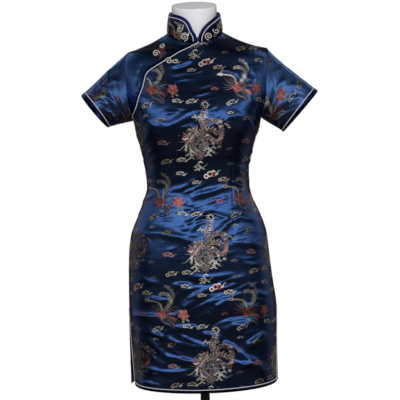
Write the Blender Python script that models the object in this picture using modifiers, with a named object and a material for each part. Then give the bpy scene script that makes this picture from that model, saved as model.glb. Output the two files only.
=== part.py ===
"""A short-sleeved cheongsam worn by a limbless dress form that stands on a pole and a round base.

Run it with: blender --background --python part.py

The garment is a stack of body sections. A point of the cloth is named by its angle round the
body (0 at the centre front, 90 at the viewer's right side seam, 180 at the centre back) and by
its level, which is its height above the hem at the side seam. Above the underarm the levels climb
to the neckline, so the top row of the front and of the back is the neckline itself.
Tables and lengths are in millimetres, with heights above the hem; the meshes are in metres.
"""

import bisect
import math
from collections import namedtuple

import bmesh
import bpy
from mathutils import Vector

MM = 0.001

# Driving dimensions.
HEM_ABOVE_FLOOR = 420.0
SLIT_TOP = 180.0
UNDERARM = 620.0
SHOULDER = 781.0
NECK_SIDE = 823.0
WALL = 1.5
COLLAR_WALL = 2.0
SEAM_GAP = 0.5
BINDING_WIDTH = 8.0
BINDING_PROUD = 0.4
PIPING_RADIUS = 0.8
LAY_GAP = 0.3
SLIT_SPREAD = 1.8
HEM_DIP = 6.0

Station = namedtuple("Station", "height left right front back square ridge ease")
Bump = namedtuple("Bump", "angle height spread lift")
Fold = namedtuple("Fold", "x0 h0 x1 h1 width lift")
Cuff = namedtuple("Cuff", "side top_x top_h bottom_x bottom_h centre_y depth turn crown")
EdgePoint = namedtuple("EdgePoint", "level angle")
RingPoint = namedtuple("RingPoint", "angle height")
Coil = namedtuple("Coil", "name x height turns way rests")

# Body sections of the garment, and how far the dress form stays inside them.
SECTIONS = [
    Station(0, 171, 171, 118, 118, 0.07, 0, 17),
    Station(60, 172, 171.5, 120, 119, 0.07, 0, 17),
    Station(120, 173, 173, 121, 121, 0.07, 0, 17),
    Station(180, 173, 174, 122, 124, 0.07, 0, 15),
    Station(240, 172, 167, 123, 129, 0.06, 0, 9),
    Station(300, 170, 160.5, 122, 131, 0.05, 0, 6),
    Station(350, 164, 155.5, 118, 126, 0.04, 0, 6),
    Station(400, 144.5, 139.5, 110, 112, 0.03, 0, 7),
    Station(435, 131, 124, 104, 99, 0.03, 0, 7.5),
    Station(465, 122.5, 118, 101, 90, 0.03, 0, 7.5),
    Station(500, 125, 117.5, 103, 89, 0.04, 0, 6.5),
    Station(540, 131, 125, 111, 93, 0.06, 0, 6),
    Station(580, 142, 138, 122, 101, 0.08, 0, 4.5),
    Station(600, 146, 145, 126, 105, 0.09, 0, 4.2),
    Station(620, 150, 150, 125, 108, 0.09, 0, 5.4),
    Station(640, 158.5, 158.5, 121.5, 110, 0.09, 0, 4.2),
    Station(660, 167.5, 167.5, 115, 111, 0.09, 0, 3.6),
    Station(680, 174, 174, 106, 110, 0.09, 0, 3.6),
    Station(720, 177, 177, 90, 105, 0.09, 0, 3.4),
    Station(750, 174.5, 174.5, 78, 95, 0.08, 0, 3.4),
    Station(770, 167, 172, 71, 85, 0.06, 0.3, 3.4),
    Station(781, 156, 168, 68, 78, 0.04, 1, 3.6),
    Station(785, 143, 152, 66.5, 74, 0.02, 2, 3.6),
    Station(790, 129, 131, 64.5, 71, 0.01, 3.5, 3.6),
    Station(800, 104, 104, 61.5, 66, 0, 6, 4),
    Station(810, 85, 85, 58.5, 61, 0, 8, 4.6),
    Station(820, 67.5, 67.5, 56.5, 57, 0, 8, 7),
    Station(824, 62.5, 62.5, 56, 55.5, 0, 8, 8),
    Station(840, 60, 60, 55, 53, 0, 8, 8),
]

# How far from the middle the shoulders' narrow ridges start.
SHOULDER_ROOT = 62.0

# Where the collar is sewn on, from the centre front (0) to the centre back (180).
NECKLINE = [
    RingPoint(0, 794),
    RingPoint(15, 795),
    RingPoint(30, 798),
    RingPoint(45, 804),
    RingPoint(60, 812),
    RingPoint(75, 819.5),
    RingPoint(90, 823),
    RingPoint(120, 828),
    RingPoint(180, 838),
]

# Rounded swellings over the bust and the seat.
BUMPS = [
    Bump(-40, 598, 62, 7),
    Bump(40, 598, 62, 7),
    Bump(-148, 285, 80, 4),
    Bump(148, 285, 80, 4),
]

# The largest folds: ridges (lift above 0) and troughs between two places on the front or the back.
# The lower FOLD_FADE is, the later a fold fades towards its ends.
FOLD_FADE = 0.8
FRONT_FOLDS = [
    Fold(-86, 446, -4, 480, 13, 4.6),
    Fold(-36, 428, 82, 464, 14, 5.0),
    Fold(-62, 438, 24, 452, 12, -2.4),
    Fold(-52, 364, 68, 390, 14, -2.8),
    Fold(-100, 348, -14, 326, 15, 4.4),
    Fold(-24, 326, 84, 378, 16, 5.0),
    Fold(78, 334, 156, 318, 13, 3.4),
    Fold(98, 212, -24, 134, 17, 5.6),
    Fold(72, 212, -34, 170, 13, -3.0),
    Fold(14, 134, 160, 156, 14, 4.4),
    Fold(-92, 156, 4, 120, 14, 5.0),
    Fold(-118, 128, -2, 80, 14, 4.4),
    Fold(-92, 68, -4, 46, 13, 4.4),
    Fold(-162, 50, 66, 6, 14, 4.6),
    Fold(72, 54, 170, 12, 15, 5.0),
    Fold(104, 82, 158, 124, 14, 4.4),
    Fold(-104, 640, -24, 670, 16, 3.6),
    Fold(28, 674, 124, 660, 16, 3.6),
]
BACK_FOLDS = [
    Fold(-90, 450, 14, 478, 14, 4.6),
    Fold(-16, 432, 92, 464, 14, 4.6),
    Fold(-74, 422, 68, 430, 12, -2.4),
    Fold(-116, 252, 26, 216, 17, 4.6),
    Fold(-4, 204, 122, 240, 17, 4.6),
    Fold(-124, 120, 34, 82, 16, 5.0),
    Fold(-14, 52, 136, 94, 16, 5.0),
    Fold(-98, 692, -40, 616, 16, 3.6),
    Fold(98, 692, 40, 616, 16, 3.6),
]

# Below the slits, how far each corner of the hem has swung out (or in, below 0) at its side.
HEM_SWING = {"front left": -7.0, "front right": -1.0, "back left": 2.5, "back right": 2.0}
SWING_NARROWNESS = 8

# Armhole: how far it cuts into the front and the back at its middle, in degrees, and its roundness.
ARMHOLE_FRONT = 25.5
ARMHOLE_BACK = 24.0
ARMHOLE_ROUNDNESS = 0.9
ARMHOLE_STEPS = 12

# The angle, just short of the side seam, at which widths beside it are measured.
NEAR_SIDE = 88.0

# The line sewn along the slanting front opening, from the underarm on the viewer's left to the
# centre of the neckline. The binding lies on its upper side.
OPENING_LINE = [
    EdgePoint(620, -87),
    EdgePoint(628, -76),
    EdgePoint(647, -57),
    EdgePoint(667, -49.3),
    EdgePoint(684, -45),
    EdgePoint(701, -41.7),
    EdgePoint(719, -39.4),
    EdgePoint(733, -38),
    EdgePoint(743, -35.8),
    EdgePoint(761, -28.3),
    EdgePoint(769.5, -24.3),
    EdgePoint(779, -20.8),
    EdgePoint(790, -18),
    EdgePoint(801, -15),
    EdgePoint(811, -9.5),
    EdgePoint(820, 3.5),
    EdgePoint(828, 17),
]
# The levels of the points that the binding and the flap start in at the armhole, how many degrees
# wide they are there, and how far above one the next row is taken.
BINDING_POINT = 627.5
FLAP_POINT = 635.5
POINT_WIDTH = 0.8
POINT_CLEAR = 2.0
FLAP_GAP = 0.5

# Sleeves: where each cuff's top and bottom lie, how deep it is front to back, its turn forward,
# and how flat the sleeve leaves the shoulder.
CUFFS = {
    "right": Cuff(-1, 270, 682, 210, 607, -6, 104, 0.12, 0.04),
    "left": Cuff(1, 284, 677, 201, 585, -6, 66, 0.10, -0.22),
}
SLEEVE_STEPS = [0, 0.08, 0.22, 0.4, 0.58, 0.78]
CUFF_PULL = 0.2

# Collar: its upper ring, and its outline unrolled round the neck, from one front end to the other.
COLLAR_TOP_HALF = 57.5
COLLAR_TOP_FRONT = 58.0
COLLAR_TOP_BACK = 50.0
COLLAR_TOP_HEIGHT = 872.0
COLLAR_OUTLINE = [
    RingPoint(6.4, 794.5),
    RingPoint(7, 805),
    RingPoint(13, 821),
    RingPoint(24.5, 835),
    RingPoint(39.5, 846.5),
    RingPoint(63, 860),
    RingPoint(90, 867),
    RingPoint(180, 880),
    RingPoint(270, 870),
    RingPoint(282, 868),
    RingPoint(321, 859),
    RingPoint(339, 850.5),
    RingPoint(349.5, 839),
    RingPoint(356, 823),
    RingPoint(363.8, 806),
    RingPoint(364.6, 794.5),
]
COLLAR_COLUMNS = 44
COLLAR_ROWS = [0, 0.33, 0.67, 1]
COLLAR_LEAST = 2.0

# Frog fastenings: flat coils of cord with a knot at the edge that they close. A coil's x and
# height are those of its middle, and rests is how far what it lies on stands off the cloth.
FROG_CORD = 1.5
FROG_START = 2.4
FROG_PITCH = 3.5
FROG_STEPS = 12
KNOT_RADIUS = 4.2
ON_PIPING = 2.4
COLLAR_COILS = [
    Coil("frog_collar_right_coil", -23.5, 807, 1.75, -1, 0),
    Coil("frog_collar_right_leaf", -33, 826, 1.1, 1, 0),
    Coil("frog_collar_left_coil", 30.5, 808, 1.75, 1, 0.2),
    Coil("frog_collar_left_leaf", 46, 821, 1.1, -1, 0),
]
CHEST_COILS = [
    Coil("frog_chest_upper_coil", -90, 771, 1.5, -1, 0.2),
    Coil("frog_chest_upper_leaf", -77, 788, 1.2, 1, 1),
    Coil("frog_chest_lower_coil", -61, 751, 1.5, 1, ON_PIPING),
    Coil("frog_chest_lower_leaf", -45, 752, 1.0, -1, 0),
]
COLLAR_KNOT = (5.0, 801.0)
CHEST_KNOT = (-72.5, 767.0)

# Dress form and its stand.
NECK_HALF = 52.5
NECK_TOP = 886.0
NECK_TILT = math.radians(16)
NECK_CLEAR = 6.0
NECK_ROUNDING = 3.0
FORM_BOTTOM = 150.0
FORM_LEVELS = [150, 154, 200, 245, 290, 330, 370, 405, 440, 470, 505, 540, 575, 600, 625, 650]
FORM_LEVELS += [680, 710, 738, 760, 773, 781, 785, 792, 801, 811, 819]
BOTTOM_SHARE = 0.96
NECK_ROWS = [0, 0.5, 0.98]
POLE_RADIUS = 11.0
BASE_RADIUS = 160.0
BASE_THICKNESS = 8.0
BASE_CHAMFER = 3.0
BOSS_RADIUS = 17.0
BOSS_HEIGHT = 36.0
BOSS_CHAMFER = 1.0
BOSS_FLARE = 5.0

# How far the middles of the piping, and of a knot that lies on the cloth, are off the cloth.
PIPING_LIFT = BINDING_PROUD + LAY_GAP + PIPING_RADIUS
KNOT_LIFT = LAY_GAP + KNOT_RADIUS

# How finely the surfaces are divided.
FRONT_COLUMNS = 24
BACK_COLUMNS = 18
FRONT_LEVELS = 34
BACK_LEVELS = 20
FLAP_COLUMNS = 7
SHOULDER_LEVELS = [785, 790, 797, 806, 815]
FORM_COLUMNS = 24
POLE_SIDES = 24
BASE_STEPS = 32
KNOT_SIDES = 10
KNOT_RINGS = 7
SHARP_EDGE = math.radians(45)


# ---------------------------------------------------------------- interpolation


def hermite_slopes(xs, ys):
    """Slopes at the points of a table that keep the curve through them free of overshoot."""
    steps = [(ys[i + 1] - ys[i]) / (xs[i + 1] - xs[i]) for i in range(len(xs) - 1)]
    slopes = [steps[0]]
    for before, after in zip(steps, steps[1:]):
        slopes.append(0.0 if before * after <= 0 else 2 * before * after / (before + after))
    return slopes + [steps[-1]]


class Curve:
    """A smooth curve through a short table of values."""

    def __init__(self, xs, ys):
        self.xs = list(xs)
        self.ys = list(ys)
        self.slopes = hermite_slopes(self.xs, self.ys)

    def __call__(self, x):
        if x <= self.xs[0]:
            return self.ys[0]
        if x >= self.xs[-1]:
            return self.ys[-1]
        i = bisect.bisect_right(self.xs, x) - 1
        width = self.xs[i + 1] - self.xs[i]
        t = (x - self.xs[i]) / width
        a = self.ys[i] * (1 + 2 * t) * (1 - t) ** 2 + self.slopes[i] * width * t * (1 - t) ** 2
        b = self.ys[i + 1] * t * t * (3 - 2 * t) - self.slopes[i + 1] * width * t * t * (1 - t)
        return a + b


HEIGHTS = [s.height for s in SECTIONS]
HALF_LEFT = Curve(HEIGHTS, [s.left for s in SECTIONS])
HALF_RIGHT = Curve(HEIGHTS, [s.right for s in SECTIONS])
DEPTH_FRONT = Curve(HEIGHTS, [s.front for s in SECTIONS])
DEPTH_BACK = Curve(HEIGHTS, [s.back for s in SECTIONS])
SQUARENESS = Curve(HEIGHTS, [s.square for s in SECTIONS])
EASE = Curve(HEIGHTS, [s.ease for s in SECTIONS])
RIDGE = Curve(HEIGHTS, [s.ridge for s in SECTIONS])
NECK_HEIGHT = Curve([p.angle for p in NECKLINE], [p.height for p in NECKLINE])
OPENING_ANGLE = Curve([p.level for p in OPENING_LINE], [p.angle for p in OPENING_LINE])


# ---------------------------------------------------------------- the body of the garment


def section_point(angle, half, front, back, square, height, ridge=0.0):
    """A point of a rounded section. square pushes its corners out, and ridge narrows all but its
    ends, where it runs out along the shoulders."""
    s, c = math.sin(math.radians(angle)), math.cos(math.radians(angle))
    root = min(half, SHOULDER_ROOT)
    reach = root + (half - root) * abs(s) ** ridge
    depth = front if c > 0 else back
    return Vector((reach * s * (1 + square * c * c), -depth * c * (1 + square * s * s), height))


def bare_point(angle, height):
    """The garment's outer surface before its bumps and folds."""
    half = HALF_RIGHT(height) if math.sin(math.radians(angle)) > 0 else HALF_LEFT(height)
    return section_point(
        angle,
        half,
        DEPTH_FRONT(height),
        DEPTH_BACK(height),
        SQUARENESS(height),
        height,
        RIDGE(height),
    )


def outward(angle, height):
    """The direction straight out of the garment's surface."""
    round_it = bare_point(angle + 0.5, height) - bare_point(angle - 0.5, height)
    up_it = bare_point(angle, height + 1) - bare_point(angle, height - 1)
    return round_it.cross(up_it).normalized()


def swelling(angle, height):
    """How far the bust and the seat push the surface out."""
    total = 0.0
    for bump in BUMPS:
        turn = (angle - bump.angle + 180) % 360 - 180
        across = math.radians(turn) * HALF_LEFT(bump.height)
        away = math.hypot(across, height - bump.height) / bump.spread
        total += bump.lift * math.exp(-away * away)
    return total


def fold_lift(fold, x, height):
    """The height of one fold at a place: a soft ridge that fades towards both ends."""
    run_x, run_h = fold.x1 - fold.x0, fold.h1 - fold.h0
    length = math.hypot(run_x, run_h)
    along = ((x - fold.x0) * run_x + (height - fold.h0) * run_h) / length
    across = ((x - fold.x0) * run_h - (height - fold.h0) * run_x) / length
    share = along / length
    if not 0 < share < 1:
        return 0.0
    fade = math.sin(math.pi * share) ** FOLD_FADE
    return fold.lift * fade * math.exp(-((across / fold.width) ** 2))


def hem_swing(angle, height):
    """How far a corner beside a slit has swung out."""
    if height >= SLIT_TOP:
        return 0.0
    s, c = math.sin(math.radians(angle)), math.cos(math.radians(angle))
    corner = ("front " if c > 0 else "back ") + ("right" if s > 0 else "left")
    return HEM_SWING[corner] * (1 - height / SLIT_TOP) * s**SWING_NARROWNESS


def cloth_point(angle, height, lift=0.0):
    """The garment's outer surface, with its bumps and folds, moved out by lift."""
    point = bare_point(angle, height)
    folds = FRONT_FOLDS if math.cos(math.radians(angle)) > 0 else BACK_FOLDS
    rise = swelling(angle, height) + hem_swing(angle, height)
    rise += sum(fold_lift(fold, point.x, height) for fold in folds)
    return point + outward(angle, height) * (rise + lift)


def neckline_height(angle):
    """The neckline dips at the centre front and rises at the centre back."""
    turn = angle % 360
    return NECK_HEIGHT(min(turn, 360 - turn))


def height_at(level, angle):
    """The height of a level at an angle: near the hem it dips at the front and the back, up to
    the underarm it is level, and from there it climbs to the neckline."""
    if level < SLIT_TOP:
        dip = HEM_DIP * math.cos(math.radians(angle)) ** 2
        return level - dip * (1 - level / SLIT_TOP)
    if level <= UNDERARM:
        return level
    share = (level - UNDERARM) / (NECK_SIDE - UNDERARM)
    return UNDERARM + share * (neckline_height(angle) - UNDERARM)


def on_body(level, angle, lift=0.0):
    return cloth_point(angle, height_at(level, angle), lift)


def degrees_for(distance, level, angle):
    """The turn that moves a point of the surface by this distance."""
    ahead = on_body(level, angle + 0.5) - on_body(level, angle - 0.5)
    return distance / ahead.length


# ---------------------------------------------------------------- edges of the panels


def armhole_levels():
    """The levels of the rows that end on the armhole, from the underarm to the shoulder."""
    turns = [math.pi * i / ARMHOLE_STEPS for i in range(ARMHOLE_STEPS + 1)]
    return [UNDERARM + (SHOULDER - UNDERARM) * (1 - math.cos(turn)) / 2 for turn in turns]


def armhole_cut(level, depth):
    """How many degrees short of the side the armhole stops a row."""
    if not UNDERARM < level < SHOULDER:
        return 0.0
    turn = math.acos(1 - 2 * (level - UNDERARM) / (SHOULDER - UNDERARM))
    return depth * math.sin(turn) ** ARMHOLE_ROUNDNESS


def slit_cut(level):
    """How many degrees the slit opens an edge at the side."""
    return SLIT_SPREAD * max(0.0, 1 - level / SLIT_TOP)


def side_limit(level, cut):
    """The angle, short of 90, where the front or the back ends at its side seam or armhole."""
    gap = degrees_for(SEAM_GAP / 2, level, NEAR_SIDE)
    return 90 - armhole_cut(level, cut) - slit_cut(level) - gap


def beside_opening(level, inset):
    """(level, angle) of the point this far below the opening's line, square to it."""
    angle = OPENING_ANGLE(level)
    turn = on_body(level, angle + 0.5) - on_body(level, angle - 0.5)
    rise = (on_body(level + 1, angle) - on_body(level - 1, angle)) / 2
    slope = (OPENING_ANGLE(level + 1) - OPENING_ANGLE(level - 1)) / 2
    edge = turn * slope + rise
    inward = edge.cross(outward(angle, height_at(level, angle))).normalized() * inset
    mixed = turn.dot(rise)
    scale = turn.length_squared * rise.length_squared - mixed * mixed
    turned = (inward.dot(turn) * rise.length_squared - inward.dot(rise) * mixed) / scale
    raised = (inward.dot(rise) * turn.length_squared - inward.dot(turn) * mixed) / scale
    return level + raised, angle + turned


def opening_edge(inset):
    """A line this far below the opening's, or above it, giving its angle at a level."""
    points = [beside_opening(level, inset) for level in range(int(UNDERARM) + 2, 827, 3)]
    line = Curve([level for level, _ in points], [angle for _, angle in points])
    return lambda level: max(line(level), -side_limit(level, ARMHOLE_FRONT))


def panel_levels(count):
    """The levels of a panel's rows: the binding's inner edge, even steps to the underarm, the
    armhole's rows, and the shoulder's up to the neckline."""
    levels = [BINDING_WIDTH + LAY_GAP]
    below = int(round(count * SLIT_TOP / UNDERARM))
    for i in range(1, below + 1):
        levels.append(levels[0] + (SLIT_TOP - levels[0]) * i / below)
    for i in range(1, count - below + 1):
        levels.append(SLIT_TOP + (UNDERARM - SLIT_TOP) * i / (count - below))
    levels += armhole_levels()[1:]
    return levels + SHOULDER_LEVELS + [NECK_SIDE - LAY_GAP]


# ---------------------------------------------------------------- making objects


def clear_scene():
    for old in list(bpy.data.objects):
        bpy.data.objects.remove(old, do_unlink=True)


def material(name, colour, roughness, metallic=0.0):
    made = bpy.data.materials.new(name)
    made.use_nodes = True
    shader = made.node_tree.nodes["Principled BSDF"]
    shader.inputs["Base Color"].default_value = (*colour, 1)
    shader.inputs["Roughness"].default_value = roughness
    shader.inputs["Metallic"].default_value = metallic
    return made


def collection(name):
    made = bpy.data.collections.new(name)
    bpy.context.scene.collection.children.link(made)
    return made


def to_world(point):
    return Vector((point.x, point.y, point.z + HEM_ABOVE_FLOOR)) * MM


def add_object(name, data, look):
    made = bpy.data.objects.new(name, data)
    data.materials.append(look)
    PARTS.objects.link(made)
    return made


def grid_faces(shape, rows, closed, keep, turned):
    """Adds rows of points and the cells between them, and returns the grid of vertices."""
    grid = [[shape.verts.new(to_world(point)) for point in row] for row in rows]
    width = len(rows[0])
    for r in range(len(rows) - 1):
        for c in range(width if closed else width - 1):
            if keep(r, c):
                n = (c + 1) % width
                cell = (grid[r][c], grid[r][n], grid[r + 1][n], grid[r + 1][c])
                shape.faces.new(cell[::-1] if turned else cell)
    return grid


def finish(name, shape, look):
    """Turns a bmesh into an object, without its unused points."""
    loose = [vertex for vertex in shape.verts if not vertex.link_faces]
    bmesh.ops.delete(shape, geom=loose, context="VERTS")
    mesh = bpy.data.meshes.new(name)
    shape.to_mesh(mesh)
    shape.free()
    made = add_object(name, mesh, look)
    mesh.shade_smooth()
    mesh.set_sharp_from_angle(angle=SHARP_EDGE)
    return made


def solid_loft(name, rows, look):
    """A closed body through rings of points, with flat ends."""
    shape = bmesh.new()
    grid_faces(shape, rows, True, lambda r, c: True, False)
    ends = [edge for edge in shape.edges if edge.is_boundary]
    bmesh.ops.holes_fill(shape, edges=ends, sides=0)
    return finish(name, shape, look)


def wall(name, rows_at, thickness, look, lift=0.0, closed=False, keep=lambda r, c: True):
    """A wall between two surfaces. rows_at gives the rows of points at a distance off the body,
    so that neighbouring pieces meet squarely at their seam. keep says which cells stay."""
    shape = bmesh.new()
    outer = grid_faces(shape, rows_at(lift), closed, keep, False)
    edges = [edge for edge in shape.edges if edge.is_boundary]
    inner = grid_faces(shape, rows_at(lift - thickness), closed, keep, True)
    partner = {a: b for row_a, row_b in zip(outer, inner) for a, b in zip(row_a, row_b)}
    for edge in edges:
        loop = edge.link_loops[0]
        a, b = loop.vert, loop.link_loop_next.vert
        shape.faces.new((b, a, partner[a], partner[b]))
    return finish(name, shape, look)


def tube(name, points, radius, look, closed=False, sides=0):
    """A round cord along a list of points; sides is Blender's bevel resolution."""
    curve = bpy.data.curves.new(name, "CURVE")
    curve.dimensions = "3D"
    curve.bevel_depth = radius * MM
    curve.bevel_resolution = sides
    curve.use_fill_caps = True
    spline = curve.splines.new("POLY")
    spline.points.add(len(points) - 1)
    for target, point in zip(spline.points, points):
        target.co = (*to_world(point), 1)
    spline.use_cyclic_u = closed
    return add_object(name, curve, look)


# ---------------------------------------------------------------- front, back and flap


def spread_angles(start, end, columns, level, bound):
    """Angles of a row's points. bound keeps one column at the inner edge of the slit's binding."""
    if not bound:
        return [start + (end - start) * i / columns for i in range(columns + 1)]
    inner = degrees_for(BINDING_WIDTH, min(level, SLIT_TOP), NEAR_SIDE)
    first, last = start + inner, end - inner
    middle = [first + (last - first) * i / (columns - 2) for i in range(columns - 1)]
    return [start] + middle + [end]


def bound_gap(row, level):
    """Below the slit's top, moves the column beside the binding in, clear of it."""
    if level > SLIT_TOP:
        return row
    shift = degrees_for(LAY_GAP, level, NEAR_SIDE)
    return [row[0], row[1] + shift] + row[2:-2] + [row[-2] - shift, row[-1]]


def front_row(level):
    """Angles of the front's points at a level, from the opening or left side to the right one."""
    right = side_limit(level, ARMHOLE_FRONT)
    left = FRONT_EDGE(level) if level > UNDERARM else -right
    row = spread_angles(left, right, FRONT_COLUMNS, level, level <= UNDERARM)
    return bound_gap(row, level)


def back_row(level):
    limit = side_limit(level, ARMHOLE_BACK)
    row = spread_angles(180 - limit, 180 + limit, BACK_COLUMNS, level, level <= UNDERARM)
    return bound_gap(row, level)


def panel(name, levels, row_at, columns, look):
    """A front or back: a wall with the slit's binding left out of its lower corners."""
    slit_rows = sum(1 for level in levels if level <= SLIT_TOP + 0.01) - 1
    places = [[(level, angle) for angle in row_at(level)] for level in levels]

    def rows_at(lift):
        return [[on_body(level, angle, lift) for level, angle in row] for row in places]

    def inside(r, c):
        return r >= slit_rows or 0 < c < columns - 1

    return wall(name, rows_at, WALL, look, keep=inside)


def levels_above(point):
    """The levels of a strip that starts in a point at the armhole: its own and the rows above."""
    return [point] + [level for level in panel_levels(FRONT_LEVELS) if level > point + POINT_CLEAR]


def strip_edge(edge, level, point):
    """The angle of a strip's edge at a level, and close to the armhole where the strip starts."""
    if level > point:
        return edge(level)
    return POINT_WIDTH - side_limit(level, ARMHOLE_FRONT)


def chest_flap(look):
    """The shoulder piece above the opening, between its binding and the armhole."""

    def rows_at(lift):
        rows = []
        for level in levels_above(FLAP_POINT):
            start = -side_limit(level, ARMHOLE_FRONT)
            end = strip_edge(FLAP_EDGE, level, FLAP_POINT)
            angles = spread_angles(start, end, FLAP_COLUMNS, level, False)
            rows.append([on_body(level, angle, lift) for angle in angles])
        return rows

    return wall("chest_flap", rows_at, WALL, look)


# ---------------------------------------------------------------- sleeves


def armhole_ring(side):
    """The armhole's points: from the shoulder down the front, and from the underarm up the back."""
    levels = armhole_levels()
    front = [(level, side * (90 - armhole_cut(level, ARMHOLE_FRONT))) for level in levels]
    back = [(level, side * (90 + armhole_cut(level, ARMHOLE_BACK))) for level in levels]
    return [on_body(level, angle) for level, angle in front[::-1] + back[1:-1]]


def ring_shares(ring):
    """How far round the ring each of its points is, from 0 to 1."""
    lengths = [(ring[(i + 1) % len(ring)] - ring[i]).length for i in range(len(ring))]
    total = sum(lengths)
    return [sum(lengths[:i]) / total for i in range(len(ring))]


def cuff_frame(cuff):
    """The cuff's centre, its axis towards the top, its axis front to back, and its way out."""
    top = Vector((cuff.side * cuff.top_x, cuff.centre_y, cuff.top_h))
    bottom = Vector((cuff.side * cuff.bottom_x, cuff.centre_y, cuff.bottom_h))
    up = (top - bottom) / 2
    out = Vector((cuff.side * up.z, -cuff.turn * up.length, -cuff.side * up.x)).normalized()
    forward = Vector((0, -1, 0))
    forward = (forward - out * forward.dot(out)).normalized()
    return (top + bottom) / 2, up, forward * cuff.depth / 2, out


def sleeve_ring(cuff, share, lift=0.0):
    """The sleeve's points at a share of the way from the armhole to the cuff."""
    centre, up, forward, out = cuff_frame(cuff)
    up = up.normalized() * (up.length + lift)
    forward = forward.normalized() * (forward.length + lift)
    ring = armhole_ring(cuff.side)
    middle = sum(ring, Vector()) / len(ring)
    made = []
    for start, turn in zip(ring, ring_shares(ring)):
        c, s = math.cos(2 * math.pi * turn), math.sin(2 * math.pi * turn)
        end = centre + up * c + forward * s
        radial = start - middle
        radial.x = 0
        chord = end - start
        leave = chord + Vector((cuff.side, 0, 0)) * chord.length * cuff.crown
        arrive = chord * (1 - CUFF_PULL) + out * chord.length * CUFF_PULL
        begin = start + leave.normalized() * SEAM_GAP + radial.normalized() * lift
        t = share
        made.append(
            begin * (1 + 2 * t) * (1 - t) ** 2
            + leave * t * (1 - t) ** 2
            + end * t * t * (3 - 2 * t)
            - arrive * t * t * (1 - t)
        )
    return made if cuff.side > 0 else made[::-1]


def sleeve_length(cuff):
    centre = cuff_frame(cuff)[0]
    ring = armhole_ring(cuff.side)
    return (centre - sum(ring, Vector()) / len(ring)).length


def sleeve(name, cuff, look):
    end = 1 - (BINDING_WIDTH + LAY_GAP) / sleeve_length(cuff)

    def rows_at(lift):
        return [sleeve_ring(cuff, share, lift) for share in SLEEVE_STEPS + [end]]

    return wall(name, rows_at, WALL, look, closed=True)


def cuff_binding(name, cuff, look):
    start = 1 - BINDING_WIDTH / sleeve_length(cuff)

    def rows_at(lift):
        return [sleeve_ring(cuff, share, lift) for share in (start, 1)]

    return wall(name, rows_at, WALL + BINDING_PROUD, look, BINDING_PROUD, closed=True)


def cuff_piping(name, cuff, look):
    share = 1 - (BINDING_WIDTH + LAY_GAP / 2) / sleeve_length(cuff)
    points = sleeve_ring(cuff, share, PIPING_LIFT)
    return tube(name, points, PIPING_RADIUS, look, closed=True)


# ---------------------------------------------------------------- collar


def collar_point(angle, height, lift=0.0):
    """The collar's outer surface: a ring that narrows from the neckline to the collar's top."""
    base_height = neckline_height(angle)
    base = bare_point(angle, base_height)
    top = section_point(
        angle, COLLAR_TOP_HALF, COLLAR_TOP_FRONT, COLLAR_TOP_BACK, 0, COLLAR_TOP_HEIGHT
    )
    share = (height - base_height) / (COLLAR_TOP_HEIGHT - base_height)
    point = base.lerp(top, share)
    return point + Vector((point.x, point.y, 0)).normalized() * lift


def collar_outline(inset):
    """(angle, height) of points along the collar's outline, this far inside it."""
    per_degree = math.radians(COLLAR_TOP_FRONT)
    places = [0.0]
    for a, b in zip(COLLAR_OUTLINE, COLLAR_OUTLINE[1:]):
        step = math.hypot((b.angle - a.angle) * per_degree, b.height - a.height)
        places.append(places[-1] + step)
    angle_at = Curve(places, [point.angle for point in COLLAR_OUTLINE])
    height_along = Curve(places, [point.height for point in COLLAR_OUTLINE])
    made = []
    for i in range(COLLAR_COLUMNS + 1):
        place = places[-1] * i / COLLAR_COLUMNS
        before, after = max(0.0, place - 0.5), min(places[-1], place + 0.5)
        run = (angle_at(after) - angle_at(before)) * per_degree
        rise = height_along(after) - height_along(before)
        length = math.hypot(run, rise)
        angle = angle_at(place) + inset * rise / length / per_degree
        height = height_along(place) - inset * run / length
        made.append((angle, max(height, neckline_height(angle) + LAY_GAP)))
    return made


def collar(look):
    """The collar's cloth, from the neckline seam to the inner edge of its binding."""
    line = collar_outline(BINDING_WIDTH + LAY_GAP)
    least = LAY_GAP + COLLAR_LEAST
    columns = [(a, top) for a, top in line if top > neckline_height(a) + least]

    def rows_at(lift):
        rows = []
        for share in COLLAR_ROWS:
            row = []
            for angle, top in columns:
                bottom = neckline_height(angle) + LAY_GAP
                row.append(collar_point(angle, bottom + (top - bottom) * share, lift))
            rows.append(row)
        return rows

    return wall("collar", rows_at, COLLAR_WALL, look)


def collar_binding(look):
    outlines = [collar_outline(inset) for inset in (BINDING_WIDTH, 0)]

    def rows_at(lift):
        return [[collar_point(angle, height, lift) for angle, height in row] for row in outlines]

    return wall("binding_collar", rows_at, COLLAR_WALL + BINDING_PROUD, look, BINDING_PROUD)


def collar_piping(look):
    line = collar_outline(BINDING_WIDTH + LAY_GAP / 2)
    clear = [(a, h) for a, h in line if h > neckline_height(a) + LAY_GAP + PIPING_RADIUS]
    points = [collar_point(angle, height, PIPING_LIFT) for angle, height in clear]
    return tube("piping_collar", points, PIPING_RADIUS, look)


# ---------------------------------------------------------------- bindings on the body


def hem_path(row_at, levels, inset):
    """(level, angle) along a slit, the hem and the other slit, this far inside the edges."""
    slit = [level for level in levels if BINDING_WIDTH + 1 < level < SLIT_TOP - 1]
    slit.append(SLIT_TOP - LAY_GAP)

    def ends(level):
        row = row_at(level)
        turn = degrees_for(inset, level, NEAR_SIDE)
        return row[0] + turn, row[-1] - turn

    down = [(level, ends(level)[0]) for level in reversed(slit)]
    up = [(level, ends(level)[1]) for level in slit]
    first, last = ends(inset)
    hem = [first] + row_at(inset)[2:-2] + [last]
    return down + [(inset, angle) for angle in hem] + up


def hem_binding(name, row_at, levels, look):
    """A strip along both slits and the hem, mitred at the corners."""
    outer, inner = (hem_path(row_at, levels, inset) for inset in (0.0, BINDING_WIDTH))

    def rows_at(lift):
        return [[on_body(level, angle, lift) for level, angle in row] for row in (outer, inner)]

    return wall(name, rows_at, WALL + BINDING_PROUD, look, BINDING_PROUD)


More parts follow.
